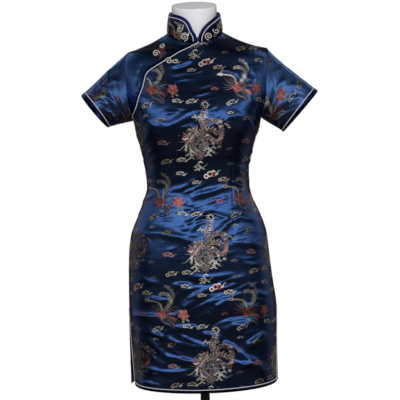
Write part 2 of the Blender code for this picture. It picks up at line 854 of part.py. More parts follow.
def hem_piping(name, row_at, levels, look):
    path = hem_path(row_at, levels, BINDING_WIDTH + LAY_GAP / 2)
    points = [on_body(level, angle, PIPING_LIFT) for level, angle in path]
    return tube(name, points, PIPING_RADIUS, look)


def opening_binding(look):
    """The strip along the slanting front opening, from the underarm to the neckline."""
    levels = levels_above(BINDING_POINT)[::-1]

    def rows_at(lift):
        upper = [on_body(level, BINDING_UPPER_EDGE(level), lift) for level in levels]
        lower_edge = [strip_edge(BINDING_LOWER_EDGE, level, BINDING_POINT) for level in levels]
        lower = [on_body(level, angle, lift) for level, angle in zip(levels, lower_edge)]
        return [upper, lower]

    return wall("binding_opening", rows_at, WALL + BINDING_PROUD, look, BINDING_PROUD)


def opening_piping(look):
    levels = levels_above(BINDING_POINT)[1:]
    points = [on_body(level, PIPING_LINE(level), PIPING_LIFT) for level in levels]
    return tube("piping_opening", points, PIPING_RADIUS, look)


# ---------------------------------------------------------------- frog fastenings


def spiral(coil):
    """A flat spiral in its own plane, from its middle out, as (across, up) points."""
    steps = int(coil.turns * FROG_STEPS)
    points = []
    for i in range(steps + 1):
        turns = coil.turns * i / steps
        radius = FROG_START + FROG_PITCH * turns
        turn = 2 * math.pi * turns
        points.append((coil.way * radius * math.cos(turn), radius * math.sin(turn)))
    return points


def angle_for_x(x, height):
    """The angle on the front whose point has this x."""
    low, high = -89.0, 89.0
    for _ in range(40):
        middle = (low + high) / 2
        if bare_point(middle, height).x < x:
            low = middle
        else:
            high = middle
    return (low + high) / 2


def chest_coil(coil, look):
    points = []
    for across, up in spiral(coil):
        x, height = coil.x + across, coil.height + up
        lift = coil.rests + LAY_GAP + FROG_CORD
        points.append(cloth_point(angle_for_x(x, height), height, lift))
    return tube(coil.name, points, FROG_CORD, look)


def collar_angle(x):
    return math.degrees(math.asin(x / SHOULDER_ROOT))


def collar_coil(coil, look):
    points = []
    for across, up in spiral(coil):
        turn = collar_angle(coil.x) + math.degrees(across / COLLAR_TOP_FRONT)
        lift = coil.rests + LAY_GAP + FROG_CORD
        points.append(collar_point(turn, coil.height + up, lift))
    return tube(coil.name, points, FROG_CORD, look)


def knot(name, centre, look):
    mesh = bpy.data.meshes.new(name)
    shape = bmesh.new()
    bmesh.ops.create_uvsphere(
        shape, u_segments=KNOT_SIDES, v_segments=KNOT_RINGS, radius=KNOT_RADIUS * MM
    )
    shape.to_mesh(mesh)
    shape.free()
    made = add_object(name, mesh, look)
    made.location = to_world(centre)
    mesh.shade_smooth()
    return made


def frogs(look, knot_look):
    for coil in COLLAR_COILS:
        collar_coil(coil, look)
    for coil in CHEST_COILS:
        chest_coil(coil, look)
    x, height = CHEST_KNOT
    knot("frog_chest_knot", cloth_point(angle_for_x(x, height), height, KNOT_LIFT), knot_look)
    x, height = COLLAR_KNOT
    centre = collar_point(collar_angle(x), height, KNOT_LIFT + BINDING_PROUD)
    knot("frog_collar_knot", centre, knot_look)


# ---------------------------------------------------------------- dress form and stand


def form_point(angle, height):
    """A point of the form, symmetrical and inside the garment's surface by the section's ease."""
    half = min(HALF_LEFT(height), HALF_RIGHT(height))
    point = section_point(
        angle,
        half,
        DEPTH_FRONT(height),
        DEPTH_BACK(height),
        SQUARENESS(height),
        height,
        RIDGE(height),
    )
    return point + outward(angle, height) * (swelling(angle, height) - EASE(height))


def form_row(level):
    angles = [360 * i / FORM_COLUMNS for i in range(FORM_COLUMNS)]
    return [form_point(angle, height_at(level, angle)) for angle in angles]


def neck_row(share, rounding=0.0):
    """A section of the form's neck, at a share of the way from the neckline to its tilted top."""
    half = NECK_HALF - rounding
    row = []
    for i in range(FORM_COLUMNS):
        angle = 360 * i / FORM_COLUMNS
        top = section_point(angle, half, half + 1, half - 6, 0, NECK_TOP)
        top.z += top.y * math.tan(NECK_TILT)
        top.z -= rounding if share < 1 else 0
        bottom = neckline_height(angle) + NECK_CLEAR
        top.z = bottom + (top.z - bottom) * share
        row.append(top)
    return row


def dress_form(look):
    rows = [form_row(level) for level in FORM_LEVELS]
    rows[0] = [Vector((p.x * BOTTOM_SHARE, p.y * BOTTOM_SHARE, p.z)) for p in rows[0]]
    rows += [neck_row(share) for share in NECK_ROWS]
    rows.append(neck_row(1, NECK_ROUNDING))
    return solid_loft("form_torso", rows, look)


def pole(look):
    bottom = BASE_THICKNESS + LAY_GAP
    top = HEM_ABOVE_FLOOR + FORM_BOTTOM - LAY_GAP
    mesh = bpy.data.meshes.new("form_pole")
    shape = bmesh.new()
    bmesh.ops.create_cone(
        shape,
        cap_ends=True,
        segments=POLE_SIDES,
        radius1=POLE_RADIUS * MM,
        radius2=POLE_RADIUS * MM,
        depth=(top - bottom) * MM,
    )
    shape.to_mesh(mesh)
    shape.free()
    made = add_object("form_pole", mesh, look)
    made.location = (0, 0, (top + bottom) / 2 * MM)
    mesh.shade_smooth()
    mesh.set_sharp_from_angle(angle=SHARP_EDGE)
    return made


def base(look):
    """A round plate with a boss that the pole stands in: a turned profile."""
    bore = POLE_RADIUS + LAY_GAP
    profile = [
        (0, BASE_THICKNESS),
        (bore, BASE_THICKNESS),
        (bore, BOSS_HEIGHT),
        (BOSS_RADIUS - BOSS_CHAMFER, BOSS_HEIGHT),
        (BOSS_RADIUS, BOSS_HEIGHT - BOSS_CHAMFER),
        (BOSS_RADIUS, BASE_THICKNESS + BOSS_FLARE),
        (BOSS_RADIUS + BOSS_FLARE, BASE_THICKNESS),
        (BASE_RADIUS - BASE_CHAMFER, BASE_THICKNESS),
        (BASE_RADIUS, BASE_THICKNESS - BASE_CHAMFER),
        (BASE_RADIUS, 0),
        (0, 0),
    ]
    mesh = bpy.data.meshes.new("form_base")
    shape = bmesh.new()
    points = [shape.verts.new((r * MM, 0, z * MM)) for r, z in profile]
    for a, b in zip(points, points[1:]):
        shape.edges.new((a, b))
    shape.to_mesh(mesh)
    shape.free()
    made = add_object("form_base", mesh, look)
    turn = made.modifiers.new("turn", "SCREW")
    turn.steps = turn.render_steps = BASE_STEPS
    turn.use_merge_vertices = True
    turn.merge_threshold = 0.0001
    turn.use_smooth_shade = False
    return made


# ---------------------------------------------------------------- the whole


def build():
    satin = material("brocade", (0.012, 0.035, 0.13), 0.35)
    bias = material("bias_satin", (0.012, 0.012, 0.05), 0.35)
    cord = material("piping", (0.52, 0.51, 0.45), 0.5)
    frog = material("frog_cord", (0.46, 0.40, 0.24), 0.5)
    white = material("form_white", (0.78, 0.78, 0.79), 0.35)
    black = material("stand_black", (0.01, 0.01, 0.011), 0.4)

    front_levels, back_levels = panel_levels(FRONT_LEVELS), panel_levels(BACK_LEVELS)
    panel("front_panel", front_levels, front_row, FRONT_COLUMNS, satin)
    panel("back_panel", back_levels, back_row, BACK_COLUMNS, satin)
    chest_flap(satin)
    collar(satin)
    collar_binding(bias)
    collar_piping(cord)
    for name, cuff in CUFFS.items():
        sleeve(f"sleeve_{name}", cuff, satin)
        cuff_binding(f"binding_cuff_{name}", cuff, bias)
        cuff_piping(f"piping_cuff_{name}", cuff, cord)
    opening_binding(bias)
    opening_piping(cord)
    for name, row_at, levels in (
        ("front", front_row, front_levels),
        ("back", back_row, back_levels),
    ):
        hem_binding(f"binding_hem_{name}", row_at, levels, bias)
        hem_piping(f"piping_hem_{name}", row_at, levels, cord)
    frogs(frog, bias)
    dress_form(white)
    pole(black)
    base(black)


FRONT_EDGE = opening_edge(LAY_GAP / 2)
PIPING_LINE = opening_edge(0)
BINDING_LOWER_EDGE = opening_edge(-LAY_GAP / 2)
BINDING_UPPER_EDGE = opening_edge(-LAY_GAP / 2 - BINDING_WIDTH)
FLAP_EDGE = opening_edge(-LAY_GAP / 2 - BINDING_WIDTH - FLAP_GAP)

clear_scene()
PARTS = collection("cheongsam_dress_on_form")
build()
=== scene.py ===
"""Looks of the cheongsam on its dress form: satin brocade, bindings, pipings, frogs, form, studio.

Lengths in the tables are in millimetres, with heights above the hem; the meshes are in metres.
A point of the cloth is named by its angle round the body (0 at the centre front, 90 at the
viewer's right side seam, 180 at the centre back) and by its height.
"""

import itertools
import math
import random
from collections import namedtuple

import bmesh
import bpy
import numpy as np
from mathutils import Matrix, Vector


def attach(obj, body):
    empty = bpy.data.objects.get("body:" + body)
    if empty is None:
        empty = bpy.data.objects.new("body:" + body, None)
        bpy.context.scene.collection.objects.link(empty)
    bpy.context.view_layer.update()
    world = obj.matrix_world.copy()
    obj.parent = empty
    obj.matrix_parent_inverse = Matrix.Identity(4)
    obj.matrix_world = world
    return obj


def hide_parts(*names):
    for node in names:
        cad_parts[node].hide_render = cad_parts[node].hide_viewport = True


MM = 0.001

# ---------------- sizes shared with the CAD part

HEM_ABOVE_FLOOR = 420.0
SLIT_TOP = 180.0
UNDERARM = 620.0
SHOULDER = 781.0
NECK_SIDE = 823.0
BINDING_WIDTH = 8.0
PIPING_RADIUS = 0.8
PIPING_LIFT = 0.75
SLIT_SPREAD = 1.8
HEM_DIP = 6.0
SHOULDER_ROOT = 62.0
ARMHOLE_FRONT = 25.5
ARMHOLE_BACK = 24.0
ARMHOLE_ROUNDNESS = 0.9
# The angles at which a width beside the side seam, or on the flap, is turned into degrees.
SEAM_ANGLE = 88.0
FLAP_ANGLE = -60.0
# Lift of an edge that is turned in, and of the line just before it.
TUCKED_LIFT = -3.0
EDGE_LIFT = -0.35

# Body sections: height, half width left and right, depth front and back, squareness, ridge.
SECTIONS = np.array([
    (0, 171, 171, 118, 118, 0.07, 0),
    (60, 172, 171.5, 120, 119, 0.07, 0),
    (120, 173, 173, 121, 121, 0.07, 0),
    (180, 173, 174, 122, 124, 0.07, 0),
    (240, 172, 167, 123, 129, 0.06, 0),
    (300, 170, 160.5, 122, 131, 0.05, 0),
    (350, 164, 155.5, 118, 126, 0.04, 0),
    (400, 144.5, 139.5, 110, 112, 0.03, 0),
    (435, 131, 124, 104, 99, 0.03, 0),
    (465, 122.5, 118, 101, 90, 0.03, 0),
    (500, 125, 117.5, 103, 89, 0.04, 0),
    (540, 131, 125, 111, 93, 0.06, 0),
    (580, 142, 138, 122, 101, 0.08, 0),
    (600, 146, 145, 126, 105, 0.09, 0),
    (620, 150, 150, 125, 108, 0.09, 0),
    (640, 158.5, 158.5, 121.5, 110, 0.09, 0),
    (660, 167.5, 167.5, 115, 111, 0.09, 0),
    (680, 174, 174, 106, 110, 0.09, 0),
    (720, 177, 177, 90, 105, 0.09, 0),
    (750, 174.5, 174.5, 78, 95, 0.08, 0),
    (770, 167, 172, 71, 85, 0.06, 0.3),
    (781, 156, 168, 68, 78, 0.04, 1),
    (785, 143, 152, 66.5, 74, 0.02, 2),
    (790, 129, 131, 64.5, 71, 0.01, 3.5),
    (800, 104, 104, 61.5, 66, 0, 6),
    (810, 85, 85, 58.5, 61, 0, 8),
    (820, 67.5, 67.5, 56.5, 57, 0, 8),
    (824, 62.5, 62.5, 56, 55.5, 0, 8),
    (840, 60, 60, 55, 53, 0, 8),
])
NECKLINE = np.array([
    (0, 794), (15, 795), (30, 798), (45, 804), (60, 812), (75, 819.5), (90, 823), (120, 828),
    (180, 838),
])
OPENING_LINE = np.array([
    (620, -87), (628, -76), (647, -57), (667, -49.3), (684, -45), (701, -41.7), (719, -39.4),
    (733, -38), (743, -35.8), (761, -28.3), (769.5, -24.3), (779, -20.8), (790, -18),
    (801, -15), (811, -9.5), (820, 3.5), (828, 17),
])
# Swellings: angle, height, spread, lift.
BUMPS = [(-40, 598, 62, 7), (40, 598, 62, 7), (-148, 285, 80, 4), (148, 285, 80, 4)]
HEM_SWING = {"front left": -7.0, "front right": -1.0, "back left": 2.5, "back right": 2.0}
SWING_NARROWNESS = 8

# Cuffs: the turn is how far one faces forward, and the crown how far its sleeve stands out.
Cuff = namedtuple("Cuff", "side top_x top_height bottom_x bottom_height centre_y depth turn crown")
CUFFS = {
    "right": Cuff(-1, 270, 682, 210, 607, -6, 104, 0.12, 0.04),
    "left": Cuff(1, 284, 677, 201, 585, -6, 66, 0.10, -0.22),
}
CUFF_PULL = 0.2

COLLAR_TOP_HALF = 57.5
COLLAR_TOP_FRONT = 58.0
COLLAR_TOP_BACK = 50.0
COLLAR_TOP_HEIGHT = 872.0
COLLAR_OUTLINE = np.array([
    (6.4, 794.5), (7, 805), (13, 821), (24.5, 835), (39.5, 846.5), (63, 860), (90, 867),
    (180, 880), (270, 870), (282, 868), (321, 859), (339, 850.5), (349.5, 839), (356, 823),
    (363.8, 806), (364.6, 794.5),
])
COLLAR_BOW = 2.4
COLLAR_COLUMNS, COLLAR_ROWS = 220, 26
# The collar's cloth: how far it reaches below the neck seam and inside its own free edge, its
# lift, and how far it rolls in at the seam.
COLLAR_DROP, COLLAR_INSET, COLLAR_LIFT, COLLAR_ROLL, COLLAR_ROLL_HEIGHT = 1.5, 5.0, 0.2, 0.5, 4
# How far the collar's motifs stay from its ends, its seam and its top.
COLLAR_MARGINS = (9, 2, 9.5)
# How far the collar's piping starts above the seam, and how much higher it lies than others.
COLLAR_PIPING_START, COLLAR_PIPING_RISE = 1.2, 0.1
NECK_HALF = 52.5
NECK_TOP = 886.0
NECK_TILT = math.radians(16)
NECK_CLEAR = 6.0
FORM_BOTTOM = 150.0


# ---------------- interpolation


def smooth_step(start, leave, end, arrive, t):
    """The values at shares t of the way from start to end, with these slopes at the two."""
    near = start * (1 + 2 * t) * (1 - t) ** 2 + leave * t * (1 - t) ** 2
    return near + end * t * t * (3 - 2 * t) - arrive * t * t * (1 - t)


class Curve:
    """A smooth curve without overshoot through a short table of values."""

    def __init__(self, xs, ys):
        self.xs = np.array(xs, float)
        self.ys = np.array(ys, float)
        steps = np.diff(self.ys) / np.diff(self.xs)
        slopes = [steps[0]]
        for before, after in zip(steps, steps[1:]):
            flat = before * after <= 0
            slopes.append(0.0 if flat else 2 * before * after / (before + after))
        self.slopes = np.array(slopes + [steps[-1]])

    def __call__(self, x):
        x = np.clip(np.asarray(x, float), self.xs[0], self.xs[-1])
        i = np.clip(np.searchsorted(self.xs, x, side="right") - 1, 0, len(self.xs) - 2)
        width = self.xs[i + 1] - self.xs[i]
        t = (x - self.xs[i]) / width
        leave, arrive = self.slopes[i] * width, self.slopes[i + 1] * width
        return smooth_step(self.ys[i], leave, self.ys[i + 1], arrive, t)


HALF_LEFT, HALF_RIGHT, DEPTH_FRONT, DEPTH_BACK, SQUARENESS, RIDGE = [
    Curve(SECTIONS[:, 0], SECTIONS[:, column]) for column in range(1, 7)
]
NECK_HEIGHT = Curve(NECKLINE[:, 0], NECKLINE[:, 1])
OPENING_ANGLE = Curve(OPENING_LINE[:, 0], OPENING_LINE[:, 1])


def unit(vectors):
    """The vectors at a length of one."""
    return vectors / np.linalg.norm(vectors, axis=-1, keepdims=True)


def distances(points):
    """How far along a line of points each of them lies."""
    return np.r_[0, np.cumsum(np.linalg.norm(np.diff(points, axis=0), axis=1))]


# ---------------- the surface of the cloth


def section_point(angle, half, front, back, square, height, ridge):
    """A point of a level section; a ridge above 0 draws its sides out into the shoulders."""
    s, c = np.sin(np.radians(angle)), np.cos(np.radians(angle))
    root = np.minimum(half, SHOULDER_ROOT)
    reach = root + (half - root) * np.abs(s) ** ridge
    depth = np.where(c > 0, front, back)
    x = reach * s * (1 + square * c * c)
    y = -depth * c * (1 + square * s * s)
    return np.stack(np.broadcast_arrays(x, y, height), axis=-1).astype(float)


def bare_point(angle, height):
    """A point of the cloth before any fold."""
    half = np.where(np.sin(np.radians(angle)) > 0, HALF_RIGHT(height), HALF_LEFT(height))
    return section_point(angle, half, DEPTH_FRONT(height), DEPTH_BACK(height),
                         SQUARENESS(height), height, RIDGE(height))


def outward(angle, height):
    """The way out of the cloth."""
    round_it = bare_point(angle + 0.5, height) - bare_point(angle - 0.5, height)
    up_it = bare_point(angle, height + 1) - bare_point(angle, height - 1)
    return unit(np.cross(round_it, up_it))


def swelling(angle, height):
    """How far the bust and the seat push the cloth out."""
    total = np.zeros(np.broadcast(angle, height).shape)
    for at, up, spread, lift in BUMPS:
        turn = (angle - at + 180) % 360 - 180
        across = np.radians(turn) * HALF_LEFT(up)
        total += lift * np.exp(-((across / spread) ** 2) - ((height - up) / spread) ** 2)
    return total


def hem_swing(angle, height):
    """How far the corners beside the slits swing out."""
    s, c = np.sin(np.radians(angle)), np.cos(np.radians(angle))
    front = np.where(s > 0, HEM_SWING["front right"], HEM_SWING["front left"])
    back = np.where(s > 0, HEM_SWING["back right"], HEM_SWING["back left"])
    return np.where(c > 0, front, back) * np.clip(1 - height / SLIT_TOP, 0, 1) * s**SWING_NARROWNESS


def neckline_height(angle):
    turn = np.asarray(angle, float) % 360
    return NECK_HEIGHT(np.minimum(turn, 360 - turn))


def height_at(level, angle):
    """The height of a level, which follows the hem's dip below and the neckline above."""
    dip = HEM_DIP * np.cos(np.radians(angle)) ** 2 * np.clip(1 - level / SLIT_TOP, 0, 1)
    share = (level - UNDERARM) / (NECK_SIDE - UNDERARM)
    high = UNDERARM + share * (neckline_height(angle) - UNDERARM)
    return np.where(level > UNDERARM, high, level - dip)


def level_of(height, angle):
    """The level that lies at this height."""
    dip = HEM_DIP * np.cos(np.radians(angle)) ** 2
    low = np.where(height < SLIT_TOP, (height + dip) / (1 + dip / SLIT_TOP), height)
    share = (height - UNDERARM) / (neckline_height(angle) - UNDERARM)
    return np.where(height > UNDERARM, UNDERARM + share * (NECK_SIDE - UNDERARM), low)


# ---------------- folds and creases

# Each row is a crest line: width, lift, then points as (x, height). Lift below 0 is a trough.
FRONT_CREASES = [
    # Soft folds, from the waist and hips down to the hem and up to the chest.
    (6, 1.6, (-76, 455), (-39, 462), (-5, 478)),
    (8, 2.4, (-22, 439), (1, 447), (31, 453), (73, 465)),
    (5, 1.2, (12, 425), (37, 433), (65, 436)),
    (5, 2, (-44, 369), (-21, 386), (2, 398), (30, 402), (66, 392)),
    (3.5, 1, (-44, 364), (-23, 374), (0, 382), (22, 388)),
    (8, 2.6, (23, 348), (49, 367), (68, 385), (91, 393), (119, 385), (150, 372)),
    (9, 2.4, (-144, 368), (-125, 362), (-92, 362), (-44, 350), (-18, 340)),
    (7, 1.6, (-20, 338), (5, 339), (30, 348)),
    (8, 2.2, (71, 336), (112, 331), (151, 319)),
    (2.8, 0.7, (-74, 445), (-56, 446), (-40, 443)),
    (2.8, 0.7, (-74, 436), (-54, 438), (-35, 433)),
    (2.8, 0.6, (-75, 427), (-58, 429), (-42, 424)),
    (5, 1.3, (-114, 525), (-95, 530), (-80, 535)),
    (4, 1, (-113, 501), (-95, 508), (-83, 516)),
    (3.5, 0.9, (-94, 495), (-82, 502), (-72, 506)),
    (4, 1.2, (51, 534), (68, 535), (81, 536)),
    (4, 1.2, (81, 534), (93, 527), (105, 517)),
    (4, 1.1, (81, 511), (95, 505), (110, 502)),
    (5, 1.2, (-53, 541), (-32, 544), (-12, 541)),
    (4, 1, (-52, 564), (-36, 567), (-22, 563)),
    (3.5, 0.8, (-58, 525), (-39, 529)),
    (6.8, 1.9, (-31, 262), (7, 258), (41, 260), (78, 264)),
    (8.1, 2, (-73, 237), (-45, 238), (-14, 236)),
    (6.8, 1.6, (-71, 218), (-46, 225), (-19, 227)),
    (8.1, 2.2, (-49, 189), (-17, 209), (15, 227)),
    (5.4, 1.4, (-37, 211), (-10, 225), (9, 238)),
    (12.2, 4.1, (-18, 155), (9, 165), (51, 188), (90, 218)),
    (10.8, 3.2, (-167, 173), (-138, 169), (-107, 165), (-86, 168)),
    (9.5, -2.7, (11, 156), (61, 166), (112, 168), (148, 157)),
    (12.2, 2.2, (26, 132), (72, 141), (126, 146)),
    (9.5, 2.4, (-89, 167), (-62, 152), (-30, 138), (-1, 142)),
    (6.8, 1.8, (-115, 135), (-85, 125), (-58, 107), (-41, 95)),
    (8.1, 2.2, (-74, 128), (-49, 116), (-18, 102), (9, 97)),
    (5.4, 1.6, (-86, 105), (-70, 94), (-50, 81)),
    (9.5, 2.7, (-89, 79), (-59, 71), (-32, 66), (-10, 62)),
    (10.8, 3.2, (-162, 52), (-125, 48), (-83, 42), (-45, 35), (-4, 27), (32, 22)),
    (16.2, 4.1, (50, 74), (81, 60), (114, 49), (144, 24)),
    (6.8, 1.6, (30, 105), (51, 105), (73, 93)),
    (9.5, 2.7, (96, 91), (120, 108), (147, 122)),
    (8.1, 2.2, (-158, 8), (-121, 8), (-84, 7)),
    (8.1, 2.2, (-39, 5), (0, 9), (46, 4)),
    (5.4, 1.5, (119, 227), (137, 214), (159, 208)),
    (5.4, 1.5, (113, 209), (130, 200), (151, 195)),
    (6.8, 2, (-168, 162), (-150, 169), (-138, 166)),
    (6, 1.7, (-56, 738), (-31, 746), (-4, 757)),
    (4, -1.2, (-54, 731), (-31, 736), (-8, 743)),
    (6, 1.6, (-60, 721), (-36, 723), (-12, 727)),
    (5, 1.4, (4, 689), (22, 694), (42, 699)),
    (4, 1.2, (-52, 706), (-30, 709), (-2, 710)),
    (4, 1.6, (96, 744), (106, 726), (118, 704)),
    (5, -2.0, (106, 752), (120, 728), (131, 706)),
    (4, 1.8, (112, 690), (122, 674), (128, 652)),
    (4, 1.6, (126, 744), (134, 720), (138, 694)),
    (4, -1.6, (88, 716), (104, 698), (118, 686)),
    (4, 1.6, (-110, 742), (-120, 722), (-127, 700)),
    (4, -1.6, (-124, 748), (-133, 724), (-137, 700)),
    (4, 1.5, (-14, 669), (10, 674), (32, 680)),
    (5, 1.6, (108, 700), (116, 684), (126, 664)),
    (4, 1.2, (-96, 690), (-80, 698), (-62, 702)),
    (4, 1.2, (52, 730), (76, 727), (98, 719)),
    (11, 2.6, (-116, 617), (-94, 606), (-69, 602), (-39, 614), (-16, 627), (2, 635),
     (25, 631), (52, 627)),
    (10, 2, (63, 625), (92, 622), (113, 610), (130, 583)),
    (3.5, 0.9, (-74, 637), (-56, 634), (-38, 635)),
    (6, 1.4, (-10, 613), (13, 615), (38, 615)),
    (5, 1.2, (12, 597), (28, 601), (42, 607)),
    (5, 1.1, (-47, 571), (-31, 574), (-18, 571)),
    (7, 1.5, (117, 608), (132, 591), (163, 575)),
    (13, 2.6, (-70, 158), (-30, 184), (10, 199), (52, 216), (92, 229)),
    (8, 2.0, (-56, 196), (-24, 214), (14, 232), (48, 242)),
    (6, 1.6, (14, 196), (44, 206), (76, 218)),
    (9, 2.0, (40, 176), (74, 184), (112, 186), (144, 180)),
    (6, 1.6, (-138, 150), (-110, 132), (-84, 112)),
    (7, 1.7, (-20, 134), (14, 124), (50, 120)),
    (6, 1.6, (70, 128), (100, 126), (130, 132)),
    (8, 1.9, (-130, 80), (-96, 62), (-60, 56)),
    (7, 1.8, (60, 42), (96, 56), (128, 60)),
    (6, 1.5, (-120, 26), (-84, 20), (-44, 24)),
    (7, 1.7, (-146, 262), (-120, 250), (-92, 246)),
    (6, 1.5, (90, 290), (116, 282), (144, 284)),
    (7, 1.9, (-66, 176), (-32, 196), (0, 211), (30, 219)),
    (7, 1.9, (-10, 176), (22, 190), (50, 205)),
    (12, 2.6, (10, 138), (48, 106), (88, 74), (138, 40)),
    (7, 2.2, (-128, 120), (-100, 92), (-74, 70)),
    (6, 1.8, (-70, 144), (-40, 122), (-8, 108), (20, 88)),
    (10, 2.4, (88, 84), (112, 103), (142, 124)),
    (8, 2.0, (-150, 214), (-120, 206), (-88, 210)),
    (6, 1.8, (36, 240), (66, 252), (104, 258)),
    (7, 2.0, (30, 14), (60, 28), (92, 36)),
    (6, 1.8, (60, 150), (96, 148), (132, 158)),
    # Crisp creases on the skirt.
    (4.6, 1.6, (-84, 171), (-27, 184), (9, 202), (77, 223)),
    (5.5, 1.7, (-23, 166), (17, 179), (50, 202), (79, 216)),
    (4.5, 1.6, (-66, 246), (-45, 243), (-21, 243)),
    (4.0, 1.4, (-55, 230), (-25, 234), (6, 240)),
    (4.0, 1.5, (-173, 169), (-128, 172), (-87, 171)),
    (4.5, 1.5, (-105, 166), (-87, 156), (-65, 147), (-20, 144)),
    (4.0, 1.6, (-169, 139), (-129, 134), (-97, 126), (-75, 96)),
    (4.2, 1.7, (-84, 121), (-58, 112), (-30, 103), (2, 98)),
    (4.6, 1.4, (-89, 82), (-59, 77), (-31, 69), (-13, 59)),
    (4.4, 1.3, (-157, 52), (-125, 48), (-90, 44), (-27, 49), (12, 39), (45, 25)),
    (5.5, 1.5, (20, 122), (46, 108), (74, 92), (110, 61), (146, 24)),
    (6.0, 1.2, (61, 59), (86, 57), (114, 55)),
    (5.0, 1.2, (97, 99), (115, 110), (135, 125)),
    (4.6, 1.4, (16, 145), (47, 157), (80, 162), (112, 162), (145, 160)),
    (4.0, 1.4, (114, 220), (132, 213), (152, 204)),
    (4.2, 1.5, (-158, 13), (-131, 16), (-101, 15)),
    (4.0, 1.5, (-120, 215), (-97, 209), (-71, 207)),
    (4.0, 1.3, (-147, 102), (-124, 88), (-108, 66)),
]
BACK_CREASES = [
    (13, 4.6, (-90, 450), (-30, 466), (14, 478)),
    (13, 4.6, (-16, 432), (40, 452), (92, 464)),
    (9, 2.6, (-100, 500), (-40, 508), (30, 524)),
    (8, 2.2, (20, 500), (70, 516), (112, 520)),
    (12, -2.4, (-74, 422), (68, 430)),
    (8, 2.4, (-126, 392), (-60, 402), (10, 384)),
    (8, 2.2, (30, 372), (84, 384), (140, 372)),
    (16, 4.6, (-116, 252), (-40, 232), (26, 216)),
    (16, 4.6, (-4, 204), (60, 224), (122, 240)),
    (9, 2.4, (-140, 322), (-70, 310), (-20, 318)),
    (9, 2.2, (40, 300), (100, 286), (146, 296)),
    (15, 5.0, (-124, 120), (-40, 104), (34, 82)),
    (15, 5.0, (-14, 52), (60, 72), (136, 94)),
    (8, 2.4, (-150, 172), (-90, 160), (-30, 168)),
    (8, 2.2, (60, 150), (110, 164), (154, 158)),
    (8, 2.2, (-140, 52), (-80, 38), (-20, 46)),
    (7, 1.8, (-60, 26), (10, 18), (70, 28)),
    (16, 3.6, (-98, 692), (-66, 650), (-40, 616)),
    (16, 3.6, (98, 692), (66, 650), (40, 616)),
    (8, 1.8, (-60, 742), (-20, 728), (30, 736)),
    (7, 1.6, (-20, 690), (20, 684), (60, 696)),
]
FOLD_FADE = 0.6


def fold_field(creases, x, height):
    """How far the creases push the surface out, crest lines fading towards both ends."""
    total = np.zeros(np.shape(x))
    for width, lift, *points in creases:
        lengths = [math.dist(a, b) for a, b in zip(points, points[1:])]
        whole = sum(lengths)
        best = np.full(np.shape(x), 1e9)
        share = np.zeros(np.shape(x))
        start = 0.0
        for (ax, ah), (bx, bh), length in zip(points, points[1:], lengths):
            along = ((x - ax) * (bx - ax) + (height - ah) * (bh - ah)) / length
            along = np.clip(along, 0, length)
            px, ph = ax + (bx - ax) * along / length, ah + (bh - ah) * along / length
            away = np.hypot(x - px, height - ph)
            nearer = away < best
            share = np.where(nearer, (start + along) / whole, share)
            best = np.minimum(best, away)
            start += length
        fade = np.sin(np.pi * np.clip(share, 0, 1)) ** FOLD_FADE
        total += lift * fade * np.exp(-((best / width) ** 2))
    return total


# Ranges of half length, width and share of the lift, then the most bend and the usual tilt.
SHORT_RUN, SHORT_WIDTH, SHORT_LIFT = (9, 26), (2.6, 5.2), (0.5, 1.2)
SHORT_BEND, SHORT_TILT = 3, 0.22


def short_creases(seed, count, zones):
    """Small uneven creases, drawn from zones of x, height, half sizes, slope and lift."""
    draw = random.Random(seed)
    made = []
    for _ in range(count):
        x, height, wide, high, slope, lift = draw.choice(zones)
        middle_x, middle_height = draw.gauss(x, wide / 2), draw.gauss(height, high / 2)
        run = draw.uniform(*SHORT_RUN)
        rise = run * (slope + draw.gauss(0, SHORT_TILT))
        bend = draw.uniform(-SHORT_BEND, SHORT_BEND)
        points = ((middle_x - run, middle_height - rise), (middle_x, middle_height + bend),
                  (middle_x + run, middle_height + rise))
        made.append((draw.uniform(*SHORT_WIDTH), lift * draw.uniform(*SHORT_LIFT), *points))
    return made


# Zones of short creases: x, height, half width, half height, slope, lift.
FRONT_ZONES = [
    (-104, 470, 40, 90, 0.5, 0.8),
    (98, 500, 36, 80, -0.4, 0.8),
    (0, 430, 110, 60, 0.25, 0.8),
    (-20, 500, 90, 60, 0.1, 0.5),
    (0, 560, 120, 60, 0.1, 0.45),
    (0, 330, 140, 60, 0.1, 0.6),
    (-60, 150, 100, 60, -0.35, 1.2),
    (80, 190, 90, 60, 0.3, 1.2),
    (0, 60, 150, 50, -0.1, 1.2),
    (-20, 16, 140, 14, 0.1, 0.7),
    (0, 690, 120, 60, 0.12, 0.7),
    (-20, 640, 120, 40, 0.15, 0.8),
    (70, 600, 60, 30, 0.35, 0.8),
    (-80, 590, 60, 30, -0.3, 0.8),
    (-125, 560, 16, 60, 1.6, 0.9),
    (125, 560, 16, 60, -1.6, 0.9),
    (0, 395, 140, 30, 0.15, 0.9),
]
BACK_ZONES = [
    (0, 450, 130, 60, 0.1, 0.8),
    (-90, 500, 50, 60, -0.3, 0.7),
    (90, 500, 50, 60, 0.3, 0.7),
    (0, 180, 150, 120, 0.1, 0.7),
    (0, 40, 150, 40, 0.0, 0.7),
    (0, 680, 120, 90, 0.1, 0.45),
]
FRONT_CREASES += short_creases(4, 210, FRONT_ZONES)
BACK_CREASES += short_creases(9, 90, BACK_ZONES)

# Darts: width, depth, then points as (x, height) of the sewn line.
FRONT_DARTS = [
    (1.6, -1.1, (-84, 300), (-83, 380), (-80, 450), (-80, 500), (-82, 566)),
    (1.6, -1.1, (76, 310), (77, 390), (76, 450), (76, 500), (78, 560)),
    (1.5, -1.0, (-141, 556), (-128, 590), (-104, 622)),
    (1.5, -1.0, (102, 620), (114, 600), (130, 556)),
]
BACK_DARTS = [
    (1.6, -1.1, (-74, 330), (-72, 400), (-70, 460), (-70, 520), (-72, 580)),
    (1.6, -1.1, (74, 330), (72, 400), (70, 460), (70, 520), (72, 580)),
]


